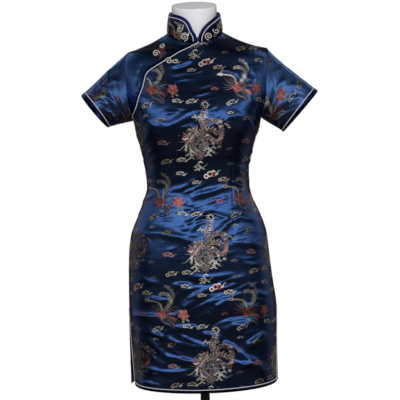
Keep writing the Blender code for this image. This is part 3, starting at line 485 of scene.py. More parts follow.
def relief(angle, height, x):
    """All folds, creases and darts at these places."""
    front = np.cos(np.radians(angle)) > 0
    made = np.zeros(np.shape(x))
    for mask, creases, darts in (
        (front, FRONT_CREASES, FRONT_DARTS),
        (~front, BACK_CREASES, BACK_DARTS),
    ):
        if mask.any():
            made[mask] = fold_field(creases + darts, x[mask], height[mask])
    return made


def cloth_point(angle, height, lift):
    """Points on the creased cloth, lifted off it."""
    angle, height = np.broadcast_arrays(np.asarray(angle, float), np.asarray(height, float))
    point = bare_point(angle, height)
    rise = swelling(angle, height) + hem_swing(angle, height)
    rise = rise + relief(angle, height, point[..., 0]) + lift
    return point + outward(angle, height) * rise[..., None]


def on_body(level, angle, lift):
    """Points over the cloth, named by level and angle."""
    return cloth_point(angle, height_at(np.asarray(level, float), angle), lift)


def degrees_for(distance, level, angle):
    """The degrees that a distance round the cloth takes up at this place."""
    height = height_at(np.asarray(level, float), angle)
    ahead = bare_point(angle + 0.5, height) - bare_point(angle - 0.5, height)
    return distance / np.linalg.norm(ahead, axis=-1)


# ---------------- edges of the panels


def armhole_cut(level, depth):
    """How far the armhole cuts into a panel, in degrees."""
    share = np.clip((level - UNDERARM) / (SHOULDER - UNDERARM), 0, 1)
    return depth * np.sin(np.arccos(1 - 2 * share)) ** ARMHOLE_ROUNDNESS


def side_limit(level, cut, gap=0.0):
    """The angle where a panel ends at its side, gap millimetres short of its edge."""
    slit = SLIT_SPREAD * np.clip(1 - level / SLIT_TOP, 0, None)
    return 90 - armhole_cut(level, cut) - slit - degrees_for(gap, level, SEAM_ANGLE)


def beside_opening(level, inset):
    """Level and angle of the points this far inside the line of the opening."""
    angle = OPENING_ANGLE(level)
    height = height_at(level, angle)

    def plain(some_level, some_angle):
        return bare_point(some_angle, height_at(some_level, some_angle))

    turn = plain(level, angle + 0.5) - plain(level, angle - 0.5)
    rise = (plain(level + 1, angle) - plain(level - 1, angle)) / 2
    slope = (OPENING_ANGLE(level + 1) - OPENING_ANGLE(level - 1)) / 2
    edge = turn * slope[..., None] + rise
    inward = unit(np.cross(edge, outward(angle, height))) * inset
    mixed = (turn * rise).sum(-1)
    turn2, rise2 = (turn * turn).sum(-1), (rise * rise).sum(-1)
    scale = turn2 * rise2 - mixed * mixed
    turned = ((inward * turn).sum(-1) * rise2 - (inward * rise).sum(-1) * mixed) / scale
    raised = ((inward * rise).sum(-1) * turn2 - (inward * turn).sum(-1) * mixed) / scale
    return level + raised, angle + turned


def opening_edge(inset):
    """A function that gives the angle of the opening's line, inset, at each level."""
    level, angle = beside_opening(np.arange(UNDERARM + 2, NECK_SIDE + 4, 3.0), inset)
    line = Curve(level, angle)
    return lambda at: np.maximum(line(at), -side_limit(at, ARMHOLE_FRONT))


PIPING_LINE = opening_edge(0)
BINDING_UPPER = opening_edge(-BINDING_WIDTH)


# ---------------- making objects


def to_world(points):
    """Points in millimetres above the hem, as metres above the floor."""
    return (np.asarray(points, float) + (0, 0, HEM_ABOVE_FLOOR)) * MM


def add_object(name, data):
    """A new object of the scene."""
    made = bpy.data.objects.new(name, data)
    bpy.context.scene.collection.objects.link(made)
    return made


def add_piece(name, data, node):
    """A piece that rides on the body, and stands for a solid where node names one."""
    made = add_object(name, data)
    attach(made, "root")
    if node:
        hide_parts(node)
    return made


def add_mesh(name, vertices, faces, look, node, uvs=None, colours=None):
    """A smooth mesh piece. vertices are in millimetres, uvs in metres of cloth."""
    mesh = bpy.data.meshes.new(name)
    mesh.from_pydata(to_world(vertices).tolist(), [], faces)
    mesh.materials.append(look)
    if uvs is not None:
        layer = mesh.uv_layers.new(name="cloth")
        corners = np.zeros(len(mesh.loops), dtype=np.int32)
        mesh.loops.foreach_get("vertex_index", corners)
        layer.data.foreach_set("uv", np.asarray(uvs, np.float32)[corners].ravel())
    if colours is not None:
        attribute = mesh.color_attributes.new("thread", "FLOAT_COLOR", "POINT")
        flat = np.c_[colours, np.ones(len(colours))].astype(np.float32)
        attribute.data.foreach_set("color", flat.ravel())
    mesh.shade_smooth()
    return add_piece(name, mesh, node)


def quads_between(index):
    """The faces between the rows of a grid of vertex numbers."""
    corners = [index[:-1, :-1], index[:-1, 1:], index[1:, 1:], index[1:, :-1]]
    return np.stack(corners, axis=-1).reshape(-1, 4).tolist()


def grid_piece(name, grid, look, node, closed=False):
    """A piece from rows of points, with cloth coordinates measured along its middle row."""
    rows, columns = grid.shape[:2]
    u, v = distances(grid[rows // 2]), distances(grid[:, columns // 2])
    uvs = np.stack(np.meshgrid((u - u[-1] / 2) * MM, v * MM), axis=-1).reshape(-1, 2)
    index = np.arange(rows * columns).reshape(rows, columns)
    if closed:
        index = np.c_[index, index[:, 0]]
    return add_mesh(name, grid.reshape(-1, 3), quads_between(index), look, node, uvs)


def solid_of_rings(name, rings, look, node, sharp):
    """A closed body from rings, the lowest first, with edges kept above an angle in degrees."""
    rings = np.array(rings)
    index = np.arange(rings.shape[0] * rings.shape[1]).reshape(rings.shape[:2])
    faces = quads_between(np.c_[index, index[:, 0]])
    faces += [index[0][::-1].tolist(), index[-1].tolist()]
    made = add_mesh(name, rings.reshape(-1, 3), faces, look, node)
    made.data.set_sharp_from_angle(angle=math.radians(sharp))
    return made


def cord(name, lines, looks, node, closed=False):
    """Round cords: each line is (points, radius, index of its look)."""
    curve = bpy.data.curves.new(name, "CURVE")
    curve.dimensions = "3D"
    curve.bevel_depth = MM
    curve.bevel_resolution = 2
    curve.use_fill_caps = True
    for look in looks:
        curve.materials.append(look)
    for points, radius, look_index in lines:
        spline = curve.splines.new("POLY")
        spline.points.add(len(points) - 1)
        for target, point in zip(spline.points, to_world(points)):
            target.co = (*point, 1)
            target.radius = radius
        spline.use_cyclic_u = closed
        spline.use_smooth = True
        spline.material_index = look_index
    return add_piece(name, curve, node)


def piping_cord(name, points, look, node, closed=False):
    """A piping along these points."""
    return cord(name, [(points, PIPING_RADIUS, 0)], [look], node, closed)


# ---------------- materials


class Nodes:
    """Short names for building a tree of nodes."""

    def __init__(self, tree):
        self.tree = tree

    def feed(self, socket, value):
        """Links another socket to this one, or gives it a value of its own."""
        if isinstance(value, bpy.types.NodeSocket):
            self.tree.links.new(value, socket)
        else:
            socket.default_value = value

    def add(self, kind, inputs=None, **settings):
        node = self.tree.nodes.new("ShaderNode" + kind)
        for key, value in settings.items():
            setattr(node, key, value)
        for socket, value in (inputs or {}).items():
            self.feed(node.inputs[socket], value)
        return node

    def ramp(self, source, *stops):
        """A ramp of (place, colour) stops, where a single number is a grey."""
        node = self.add("ValToRGB", {"Fac": source})
        while len(node.color_ramp.elements) < len(stops):
            node.color_ramp.elements.new(0.5)
        for element, (place, colour) in zip(node.color_ramp.elements, stops):
            element.position = place
            element.color = (*((colour,) * 3 if np.isscalar(colour) else colour), 1)
        return node.outputs["Color"]

    def mix(self, share, first, second, blend="MIX"):
        """Two colours mixed; the sockets are numbered, as several share a name."""
        inputs = {0: share, 6: first, 7: second}
        return self.add("Mix", inputs, data_type="RGBA", blend_type=blend).outputs[2]


class Material(Nodes):
    """A material, with short names for the textures that several of them use."""

    def __init__(self, name):
        self.look = bpy.data.materials.new(name)
        self.look.use_nodes = True
        super().__init__(self.look.node_tree)

    def cloth(self):
        return self.add("UVMap", uv_map="cloth").outputs["UV"]

    def place(self):
        return self.add("TexCoord").outputs["Object"]

    def noise(self, vector, scale, detail, roughness=0.5):
        inputs = {"Vector": vector, "Scale": scale, "Detail": detail, "Roughness": roughness}
        return self.add("TexNoise", inputs).outputs["Fac"]

    def stretched_noise(self, scale, detail, roughness=0.5, turn=0.0):
        """Noise on the cloth with a scale of its own across and along it, per metre."""
        inputs = {"Vector": self.cloth(), "Scale": (*scale, 1), "Rotation": (0, 0, turn)}
        return self.noise(self.add("Mapping", inputs).outputs["Vector"], 1.0, detail, roughness)

    def lines(self, vector, direction, scale, distortion=0.0):
        inputs = {"Vector": vector, "Scale": scale, "Distortion": distortion}
        wave = self.add("TexWave", inputs, wave_type="BANDS", bands_direction=direction)
        return wave.outputs["Fac"]

    def bump(self, height, strength, distance, under=None):
        inputs = {"Height": height, "Strength": strength, "Distance": distance}
        if under is not None:
            inputs["Normal"] = under
        return self.add("Bump", inputs).outputs["Normal"]

    def shade(self, **inputs):
        """Feeds the shader, whose inputs are named with _ for a space, and gives the material."""
        shader = self.tree.nodes["Principled BSDF"]
        for name, value in inputs.items():
            self.feed(shader.inputs[name.replace("_", " ")], value)
        return self.look


def satin(name, colour, dark, rough, weave):
    """Warp-faced satin: a metallic sheen that runs across the warp, slubs and a fine weave."""
    made = Material(name)
    slubs = made.stretched_noise((60, 700), 4.0, 0.6)
    clouds = made.stretched_noise((9, 16), 3.0)
    ripple = made.stretched_noise((34, 80), 4.0, 0.6, 0.35)
    swell = made.stretched_noise((9, 20), 2.0, 0.5, -0.3)
    fine = made.bump(made.lines(made.cloth(), "X", weave, 0.6), 0.10, 0.00006)
    tangent = made.add("Tangent", direction_type="UV_MAP", uv_map="cloth")
    return made.shade(
        Base_Color=made.ramp(clouds, (0.3, dark), (0.7, colour)),
        Roughness=made.ramp(slubs, (0.25, rough - 0.04), (0.75, rough + 0.05)),
        Normal=made.bump(swell, 0.22, 0.005, made.bump(ripple, 0.4, 0.0014, fine)),
        Tangent=tangent.outputs["Tangent"],
        Metallic=0.992,
        Anisotropic=0.55,
    )


def thread(name):
    """Brocading threads: the colour painted on each motif, laid in fine horizontal floats."""
    made = Material(name)
    colour = made.add("Attribute", attribute_name="thread").outputs["Color"]
    floats = made.lines(made.cloth(), "Y", 900)
    facing = made.add("LayerWeight").outputs["Facing"]
    return made.shade(
        Base_Color=made.mix(1.0, colour, made.ramp(floats, (0, 0.62), (0.6, 1.0)), "MULTIPLY"),
        Metallic=made.ramp(facing, (0, 0), (0.03, 0.10), (0.07, 0.46), (0.14, 0.78), (0.3, 0.94)),
        Normal=made.bump(floats, 0.25, 0.0002),
        Roughness=0.45,
        Specular_IOR_Level=0.5,
        Sheen_Weight=0.15,
        Sheen_Roughness=0.4,
    )


def cord_look(name, colour, other, metallic=0.0, rough=0.4):
    """A twisted silky cord."""
    made = Material(name)
    twist = made.lines(made.place(), "DIAGONAL", 260, 1.5)
    return made.shade(
        Base_Color=made.ramp(twist, (0.1, other), (0.6, colour)),
        Normal=made.bump(twist, 0.3, 0.0003),
        Roughness=rough,
        Metallic=metallic,
        Sheen_Weight=0.2,
        Sheen_Roughness=0.4,
    )


def plastic(name, colour, rough):
    """Moulded plastic with a fine stipple and faint smudges."""
    made = Material(name)
    smudge = made.noise(made.place(), 9, 3.0)
    shaded = tuple(value * 0.95 for value in colour)
    return made.shade(
        Base_Color=made.ramp(smudge, (0.2, shaded), (0.7, colour)),
        Roughness=made.ramp(smudge, (0.3, rough - 0.05), (0.7, rough + 0.08)),
        Normal=made.bump(made.noise(made.place(), 900, 2.0), 0.04, 0.0001),
        Coat_Weight=0.25,
        Coat_Roughness=0.15,
    )


def coated_steel(name):
    """Steel under a black coat of powder paint, a little uneven in gloss."""
    made = Material(name)
    wear = made.noise(made.place(), 26, 4.0)
    dark, worn = (0.008, 0.008, 0.009), (0.02, 0.02, 0.021)
    return made.shade(
        Base_Color=made.ramp(wear, (0.35, dark), (0.8, worn)),
        Roughness=made.ramp(wear, (0.3, 0.32), (0.7, 0.46)),
        Normal=made.bump(made.noise(made.place(), 2600, 2.0), 0.12, 0.0001),
    )


def floor_look():
    """A pale matt floor, a little uneven."""
    made = Material("studio_floor")
    pale, paler = (0.66, 0.66, 0.67), (0.72, 0.72, 0.73)
    tone = made.noise(made.place(), 3, 3.0)
    return made.shade(Base_Color=made.ramp(tone, (0.3, pale), (0.7, paler)), Roughness=0.8)


# ---------------- brocaded motifs

# Thread colours of the brocading wefts.
THREADS = {
    "cream": (0.66, 0.62, 0.49),
    "white": (0.80, 0.79, 0.74),
    "gold": (0.50, 0.36, 0.16),
    "copper": (0.24, 0.165, 0.135),
    "mauve": (0.40, 0.265, 0.265),
    "lilac": (0.28, 0.235, 0.33),
    "green": (0.25, 0.34, 0.27),
    "leaf": (0.11, 0.19, 0.10),
    "red": (0.62, 0.085, 0.085),
    "rose": (0.62, 0.30, 0.28),
    "grey": (0.20, 0.185, 0.19),
    "under": (0.105, 0.080, 0.085),
    "dark": (0.02, 0.02, 0.03),
}

# How wide a stroke of thread is along its length, as a share of its full width.
TAPERS = {
    "even": lambda share: np.minimum(1, 0.4 + 8 * np.minimum(share, 1 - share)),
    "point": lambda share: np.minimum(1, 0.5 + 8 * share) * (1.04 - share) ** 0.7,
    "leaf": lambda share: 0.06 + np.sin(np.pi * share) ** 0.8,
}


def smooth_line(points, step):
    """The points joined by a smooth line, as evenly spaced points."""
    points = np.asarray(points, float)
    length = distances(points)
    at = np.linspace(0, length[-1], max(int(round(length[-1] / step)), 2) + 1)
    slope = np.gradient(points, length, axis=0)
    index = np.clip(np.searchsorted(length, at, side="right") - 1, 0, len(points) - 2)
    span = (length[index + 1] - length[index])[:, None]
    t = (at - length[index])[:, None] / span
    leave, arrive = slope[index] * span, slope[index + 1] * span
    return smooth_step(points[index], leave, points[index + 1], arrive, t)


def beside(line, distance):
    """A line beside another one, to its left for a distance above 0."""
    ahead = unit(np.gradient(line, axis=0))
    return line + np.stack([-ahead[:, 1], ahead[:, 0]], axis=-1) * np.reshape(distance, (-1, 1))


def polar(x, y, degrees, reach):
    """The point at this reach and direction from another."""
    turn = np.radians(degrees)
    return (x + reach * np.cos(turn), y + reach * np.sin(turn))


def curl(colour, width, x, y, radius, start, turns):
    """A scroll that winds inwards; turns below 0 wind clockwise."""
    share = np.linspace(0, 1, max(int(abs(turns) * 9), 4))
    reach = radius * (1 - 0.78 * share)
    line = np.stack(polar(x, y, start + 360 * turns * share, reach), axis=-1)
    return (colour, width, "even", line)


def fan(colours, width, x, y, directions, inner, outer, bend, taper="point"):
    """Strokes that spread from one point, each bent a little to one side."""
    strokes, colours = [], colours.split()
    for number, direction in enumerate(directions):
        reach = outer * (0.82 + 0.18 * (number * 7 % 3) / 2)
        points = [polar(x, y, direction + bend * share ** 2, inner + (reach - inner) * share)
                  for share in (0, 0.35, 0.7, 1)]
        strokes.append((colours[number % len(colours)], width, taper, points))
    return strokes


# Points of a body's middle line from one row of scales, or one spine, to the next.
SCALE_GAP = 3


def scaled_body(path, width, edge, marks, spikes):
    """A dragon's body: a dim filling, two edges, rows of scales, and spines on its back."""
    line, marks = smooth_line(path, 2.0), marks.split()
    half = width / 2 * TAPERS["even"](np.linspace(0, 1, len(line)))
    left, right = beside(line, half), beside(line, -half)
    strokes = [("under", 2.6, "even", beside(line, across * half))
               for across in np.linspace(-0.8, 0.8, max(int(width / 2.2), 2))]
    strokes += [(edge, 1.4, "even", left), (marks[0], 1.2, "even", right)]
    for number, at in enumerate(range(1, len(line) - 3, SCALE_GAP)):
        colour = marks[number % len(marks)]
        strokes.append((colour, 1.25, "even", [right[at], line[at + 1], left[at]]))
        if number % 2:
            strokes.append((marks[-1], 1.5, "leaf", [line[at], line[min(at + 2, len(line) - 1)]]))
    back, tip = beside(line, half * 1.05), beside(line, half + 4.2)
    for at in range(1, len(line) - 2, SCALE_GAP):
        strokes.append((spikes, 2.2, "point", [back[at], tip[at + 1]]))
    return strokes


def flecks(path, width, count, colours, seed):
    """Short stitches strewn along a path, which fill a body unevenly."""
    dice = random.Random(seed)
    line = smooth_line(path, 1.0)
    strokes, colours = [], colours.split()
    for number in range(count):
        x, y = line[dice.randrange(len(line))]
        x, y = x + dice.gauss(0, width / 4), y + dice.gauss(0, width / 4)
        direction = dice.choice((35, 60, 120, 145)) + dice.gauss(0, 15)
        stitch = [(x, y), polar(x, y, direction, 4.2)]
        strokes.append((colours[number % len(colours)], dice.uniform(1.1, 1.9), "leaf", stitch))
    return strokes


def claws(colour, x, y, direction):
    """A foot of four claws."""
    spread = [direction - 62, direction - 22, direction + 18, direction + 58]
    return fan(colour, 1.7, x, y, spread, 0.5, 7.5, 25)


def puff(colours, x, y, size, flip=1):
    """A knot of cloud: scrolls round a small filling."""
    body, line = colours.split()
    left, right = (180, 0) if flip > 0 else (0, 180)
    filling = [(x - 4 * size, y - size), (x, y + size), (x + 5 * size, y - size)]
    across = size * flip
    return [
        (body, 2.0 * size, "leaf", filling),
        curl(line, 1.3 * size, x - 4.6 * across, y, 3.5 * size, left, 1.0 * flip),
        curl(line, 1.4 * size, x + 0.8 * across, y + 2.8 * size, 4.2 * size, 100, -1.05 * flip),
        curl(line, 1.2 * size, x + 6.4 * across, y - 0.4 * size, 3.2 * size, right, -1.0 * flip),
    ]


# Fin, flames and limbs, then the head: mane, horns, brow, jaw, tongue, whiskers and eye.
DRAGON_DETAILS = [
    ("rose", 3.6, "leaf", [(33, 22), (43, 27), (45, 38)]),
    ("white", 3.4, "leaf", [(9, 32), (13, 35), (16, 32)]),
    ("gold", 3.2, "leaf", [(50, 59), (57, 56), (63, 53)]),
    ("green", 3.0, "leaf", [(57, 52), (62, 50), (66, 51)]),
    ("gold", 2.6, "point", [(-13, 42), (-11, 49), (-10, 56)]),
    ("copper", 4.6, "leaf", [(-28, 34), (-36, 36), (-42, 42)]),
    ("white", 3.0, "leaf", [(-30, 29), (-38, 26), (-45, 29)]),
    ("red", 2.4, "leaf", [(-30, 32), (-37, 31), (-43, 34)]),
    ("cream", 4.2, "leaf", [(-33, 18), (-37, 10), (-34, 4)]),
    ("white", 2.2, "leaf", [(-28, 8), (-26, 0), (-18, -6)]),
    ("cream", 1.2, "point", [(-38, 14), (-44, 8), (-52, 2), (-60, 1)]),
    ("green", 1.2, "point", [(-37, 24), (-46, 20), (-54, 22)]),
    ("copper", 3.2, "point", [(40, 22), (42, 15), (38, 9)]),
    ("lilac", 3.0, "point", [(2, 16), (14, 13), (22, 15)]),
    curl("white", 1.4, -27, 36, 2.4, 0, 1.0),
]


def make_dragon():
    """A dragon that looks left: tail fin above, a coil on its right, clouds under its belly."""
    tail = [(9, 95), (5, 84), (2, 72), (1, 60), (5, 49)]
    neck = [(-14, 33), (-2, 41), (12, 45), (27, 43), (36, 35)]
    coil = [(6, 55), (17, 63), (30, 65), (40, 58), (44, 43), (42, 28), (33, 19), (22, 24), (15, 36)]
    head = [(-11, 47), (-21, 37), (-29, 23), (-29, 8)]
    belly = [(2, 38), (6, 24), (3, 8), (-4, -6), (-9, -20)]
    haunch = [(-27, 6), (-17, -2), (-8, -13)]
    strokes = fan("copper lilac mauve grey cream", 1.8, -18, 34,
                  [48, 66, 84, 102, 120, 138, 156, 176, 196, 214], 3, 23, 22)
    strokes += fan("grey lilac", 1.6, -20, 26, [130, 150, 170, 190, 210, 230], 4, 27, 18)
    strokes += fan("cream green rose white", 2.0, 10, 102, range(15, 375, 40), 5, 11, 30)
    strokes.append(curl("cream", 2.0, 10, 102, 8.5, 250, 1.2))
    strokes += fan("white green cream lilac", 2.0, 3, 74,
                   [-14, 6, 26, 152, 172, 192, 214], 3, 18, 20)
    strokes += puff("green white", -15, 75, 0.75)
    strokes += scaled_body(tail, 8.5, "lilac", "mauve cream lilac", "cream")
    strokes += flecks(tail, 10, 26, "cream lilac white dark mauve", 7)
    strokes += scaled_body(head, 17, "copper", "mauve lilac grey copper", "mauve")
    strokes += flecks([(-13, 27), (-13, 8), (-12, -8)], 26, 90, "grey under copper green", 9)
    strokes += scaled_body(belly, 13, "copper", "copper grey lilac gold", "grey")
    strokes += scaled_body(haunch, 12, "grey", "copper lilac cream", "copper")
    strokes += flecks(head, 30, 80, "lilac copper dark mauve grey cream dark", 3)
    strokes += flecks(belly, 22, 70, "copper dark grey lilac dark cream", 4)
    strokes += flecks(haunch, 24, 40, "grey copper dark green lilac", 6)
    strokes += scaled_body(coil, 8.5, "mauve", "copper mauve lilac cream", "copper")
    strokes += flecks(coil, 9, 56, "mauve copper rose dark cream grey", 5)
    strokes += scaled_body(neck, 8, "copper", "gold cream copper", "cream")
    strokes += flecks(neck, 10, 34, "gold cream dark copper", 8)
    for number, x in enumerate((-36, -32, -28, -24, -20)):
        colour = ("rose", "lilac", "cream")[number % 3]
        strokes.append((colour, 1.8, "leaf", [(x, 12 + number * 3), (x + 4, 21 + number * 4),
                                              (x + 10, 29 + number * 4)]))
    strokes += DRAGON_DETAILS
    strokes += claws("white", 38, 10, 262)
    strokes += claws("white", 22, 15, 10)
    strokes += claws("cream", -36, 4, 215)
    strokes += claws("cream", 42, 62, 40)
    for x, y, size, flip in ((10, 2, 1.0, 1), (19, -3, 1.1, -1), (24, 5, 0.8, 1), (12, -11, 0.9, 1)):
        strokes += puff("green white", x, y, size, flip)
    for x, y, size, flip in ((-31, -9, 1.0, 1), (-25, -17, 0.8, -1)):
        strokes += puff("green cream", x, y, size, flip)
    for x, y, size, flip in ((-13, -36, 1.0, 1), (-4, -41, 0.9, -1), (-15, -44, 0.7, 1)):
        strokes += puff("leaf cream", x, y, size, flip)
    strokes += [
        ("white", 2.0, "leaf", [(-12, -28), (-6, -26), (0, -29)]),
        ("green", 1.4, "point", [(24, -5), (30, -9), (34, -5)]),
        ("green", 1.4, "point", [(0, -38), (7, -34), (12, -28)]),
    ]
    return strokes


def feather(path, colours, width, barb):
    """A long tail feather: a quill with barbs down both sides and an eye at its tip."""
    body, line, eye = colours.split()
    quill = smooth_line(path, 2.2)
    strokes = [(body, 1.5, "even", beside(quill, side * width * 0.5)) for side in (1, -1)]
    for side in (1, -1):
        edge, tip = beside(quill, side * width * 0.3), beside(quill, side * (width * 0.5 + barb))
        for at in range(0, len(quill) - 3, 2):
            strokes.append((line, 1.0, "point", [edge[at], tip[at + 2]]))
    strokes.append((line, 1.0, "even", quill))
    x, y = quill[-1]
    strokes.append(curl(body, 2.6, x, y, 4.0, 200, 0.9))
    strokes.append((eye, 3.6, "leaf", [(x - 3, y), (x + 3, y + 1)]))
    strokes.append(("red", 1.8, "leaf", [(x - 1.5, y - 1), (x + 1.5, y)]))
    return strokes


def make_phoenix():
    """A phoenix that looks left: a round red breast, thin plumes, and two long tail feathers."""
    outer = [(12, 26), (22, 33), (28, 43), (25, 52), (18, 60), (9, 66)]
    inner = [(6, 10), (14, 19), (21, 28), (21, 37), (14, 45), (5, 48), (-4, 47)]
    strokes = fan("lilac rose grey green", 1.5, -3, 4,
                  [88, 100, 112, 124, 136, 150, 164, 178, 192, 206], 8, 34, -10)
    strokes += fan("lilac gold grey rose copper", 1.6, 5, 0,
                   [58, 44, 30, 16, 2, -14, -30], 8, 42, -14)
    strokes += fan("rose grey cream", 1.5, 4, -3, [20, 4, -12, -28], 6, 26, -14)
    strokes += feather(outer, "grey cream leaf", 5.0, 1.6)
    strokes += feather(inner, "cream white rose", 5.6, 1.2)
    strokes += flecks(inner[1:], 5, 44, "cream white grey cream", 12)
    strokes += flecks(outer[2:], 5, 26, "grey green cream", 13)
    strokes += [
        ("lilac", 4.0, "leaf", [(6, -18), (15, -22), (24, -32)]),
        ("lilac", 3.4, "leaf", [(14, -14), (24, -20), (28, -34)]),
        ("leaf", 7.0, "leaf", [(8, -8), (15, -12), (22, -10)]),
        ("red", 4.6, "leaf", [(20, -6), (27, -10), (32, -18)]),
        ("grey", 2.0, "point", [(-4, -10), (-2, -18), (6, -22)]),
        ("white", 1.6, "point", [(0, -14), (6, -20), (16, -24)]),
        ("leaf", 4.0, "leaf", [(-4, 8), (-2, 15), (1, 19)]),
    ]
    strokes += fan("red red rose", 6.0, 0, 0, range(10, 370, 30), 2, 13, 16, "leaf")
    strokes += fan("rose red rose", 4.6, -1, 2, range(0, 360, 45), 0.5, 8.5, -20, "leaf")
    strokes += fan("cream green grey", 2.6, 3, -5, [200, 240, 280, 320], 1, 7, 10, "leaf")
    strokes += [
        ("cream", 4.0, "even", [(-1, 9), (-3, 20), (-9, 27), (-19, 30), (-31, 31)]),
        ("white", 1.6, "even", [(-2, 11), (-5, 21), (-10, 27), (-20, 29), (-30, 30)]),
        ("white", 7.0, "leaf", [(-29, 31), (-37, 32), (-45, 32)]),
        ("red", 3.6, "leaf", [(-34, 31), (-38, 32), (-42, 31)]),
        ("gold", 1.8, "point", [(-43, 31), (-49, 29)]),
        ("rose", 1.8, "leaf", [(-33, 34), (-34, 39), (-30, 43)]),
    ]
    return strokes


def make_chrysanthemum():
    """A round flower head with two leaves."""
    strokes = []
    for direction in (262, 300):
        root, tip = polar(0, 0, direction, 11), polar(0, 0, direction + 10, 20)
        strokes.append(("green", 4.6, "leaf", [root, polar(0, 0, direction + 3, 16), tip]))
        strokes.append(("grey", 1.2, "point", [root, tip]))
    strokes += fan("red red rose", 4.6, 0, 0, range(0, 360, 24), 3, 13.5, 14, "leaf")
    strokes += fan("leaf copper", 0.9, 0, 0, range(12, 372, 24), 6, 13.5, 14, "leaf")
    strokes += fan("rose rose red", 3.8, 1, 1, range(10, 370, 40), 1, 8, -20, "leaf")
    strokes += fan("red", 0.9, 1, 1, range(30, 390, 40), 2, 8, -20, "leaf")
    strokes.append(curl("rose", 1.4, 1, 1, 2.6, 0, 1.2))
    return strokes


def ring(colour, width, x, y, radius):
    """A closed round of thread."""
    around = np.stack(polar(x, y, np.linspace(0, 360, 10), radius), axis=-1)
    return (colour, width, "even", around)


def make_cloud(body, line):
    """A flat cloud: three rings of pale thread round dark hearts, a bright lobe and a wisp."""
    return [
        ("dark", 6.0, "leaf", [(-12, -1), (0, 0), (11, 0)]),
        (body, 3.0, "leaf", [(-10, -1), (-6, -0.6), (-2, 0)]),
        (body, 2.6, "leaf", [(0, 1), (4, 1.6), (7, 1)]),
        ring(line, 2.0, -8.6, -1.0, 3.6),
        ring(line, 2.2, -1.2, 1.4, 4.4),
        ring(body, 2.0, 5.4, -0.6, 3.6),
        (line, 2.4, "leaf", [(2, 5.4), (7, 5.2), (10, 2.6)]),
        (line, 4.2, "leaf", [(7, -2.4), (11.5, -1.4), (15, 1.6)]),
        (line, 1.6, "point", [(13, 1), (17, 3.6), (21, 3.2)]),
    ]


# One repeat of the pattern: motif, then its place in the repeat, its turn and its size.
REPEAT_WIDTH, REPEAT_HEIGHT = 196.0, 255.0
# How far the columns of the pattern lean off the grain, and from which height.
SKEW, SKEW_FROM = 0.019, 400
REPEAT = [
    (make_dragon(), 0, 0, 0, 1.0),
    (make_phoenix(), 86, 139, 0, 1.0),
    (make_chrysanthemum(), -61, 139, 0, 1.0),
    (make_cloud("red", "white"), 16, 199, 12, 1.25),
    (make_cloud("gold", "cream"), 45, 187, -4, 0.9),
    (make_cloud("copper", "cream"), -18, 182, 0, 0.7),
    (make_cloud("grey", "cream"), -48, 234, -6, 0.9),
    (make_cloud("lilac", "white"), -21, 110, 4, 0.9),
    (make_cloud("grey", "white"), 71, 105, 12, 0.95),
    (make_cloud("grey", "white"), -53, 112, -12, 0.8),
    (make_cloud("grey", "white"), 66, 82, 0, 0.5),
    (make_cloud("red", "rose"), 33, 138, 0, 0.6),
    (make_cloud("grey", "lilac"), 61, 3, 0, 0.6),
    (make_cloud("grey", "green"), 64, 222, 0, 0.55),
    (make_cloud("lilac", "rose"), -90, 20, -8, 0.95),
    (make_cloud("copper", "cream"), -86, 231, 6, 0.95),
    (make_cloud("grey", "white"), -53, 203, -12, 0.8),
    (make_cloud("leaf", "gold"), -92, 70, 10, 0.7),
]


# Threads: steps along a stroke, the shares its colour is drawn from, and its lift off the
# cloth, at least and added by the last stroke of a motif.
STEP_LEAST, STEP_MOST = 1.1, 2.2
TINT_LEAST, TINT_MOST = 0.82, 1.18
THREAD_LIFT, THREAD_PILE = 0.16, 0.26


def thread_strokes(motif, seed):
    """The motif's strokes as strips of quads on flat cloth: points, faces, colours and lifts."""
    dice = random.Random(seed)
    points, faces, colours, lifts = [], [], [], []
    for number, (colour, width, taper, path) in enumerate(motif):
        line = smooth_line(path, float(np.clip(width * STEP_LEAST, STEP_LEAST, STEP_MOST)))
        half = width / 2 * TAPERS[taper](np.linspace(0, 1, len(line)))
        first = sum(len(part) for part in points)
        points.append(np.concatenate([beside(line, half), beside(line, -half)]))
        left = first + np.arange(len(line) - 1)
        right = left + len(line)
        faces.append(np.stack([left, right, right + 1, left + 1], axis=-1))
        tint = np.array(THREADS[colour]) * dice.uniform(TINT_LEAST, TINT_MOST)
        colours.append(np.tile(tint, (2 * len(line), 1)))
        lifts.append(np.full(2 * len(line), THREAD_LIFT + THREAD_PILE * number / len(motif)))
    return [np.concatenate(part) for part in (points, faces, colours, lifts)]


def pattern(place, cut):
    """The repeat laid over a cloth; place() gives points on it and which of them lie on it."""
    parts, count = [], 0
    for number, (motif, x, y, turn, size) in enumerate(cut.motifs):
        points, faces, colours, lifts = thread_strokes(motif, cut.seed + number)
        turn = math.radians(turn)
        spin = np.array([[math.cos(turn), -math.sin(turn)], [math.sin(turn), math.cos(turn)]])
        flat = points @ spin.T * size
        for column, row in itertools.product(cut.columns, cut.rows):
            up = flat[:, 1] + y + cut.shift[1] + row * REPEAT_HEIGHT
            across = flat[:, 0] + x + cut.shift[0] + column * REPEAT_WIDTH - SKEW * (up - SKEW_FROM)
            placed, on_cloth = place(across, up, lifts)
            kept = faces[on_cloth[faces].all(axis=1)]
            if len(kept):
                used, numbers = np.unique(kept, return_inverse=True)
                uvs = np.stack([across, up], axis=-1)[used] * MM
                # Thread colours darkened or brightened by place and by piece: painted shade and
                # painted highlight.
                tones_with_painted_light = colours[used] * cut.dull.get((number, column, row), 1.0) * cut.strength
                parts.append((placed[used], numbers.reshape(-1, 4) + count, tones_with_painted_light, uvs))
                count += len(used)
    return [np.concatenate(part) for part in zip(*parts)]


def brocading(name, place, look):
    """The motifs of one piece of cloth, as one piece of thread."""
    points, faces, colours, uvs = pattern(place, CUTS[name])
    return add_mesh(f"{name}_brocade", points, faces.tolist(), look, None, uvs, colours)


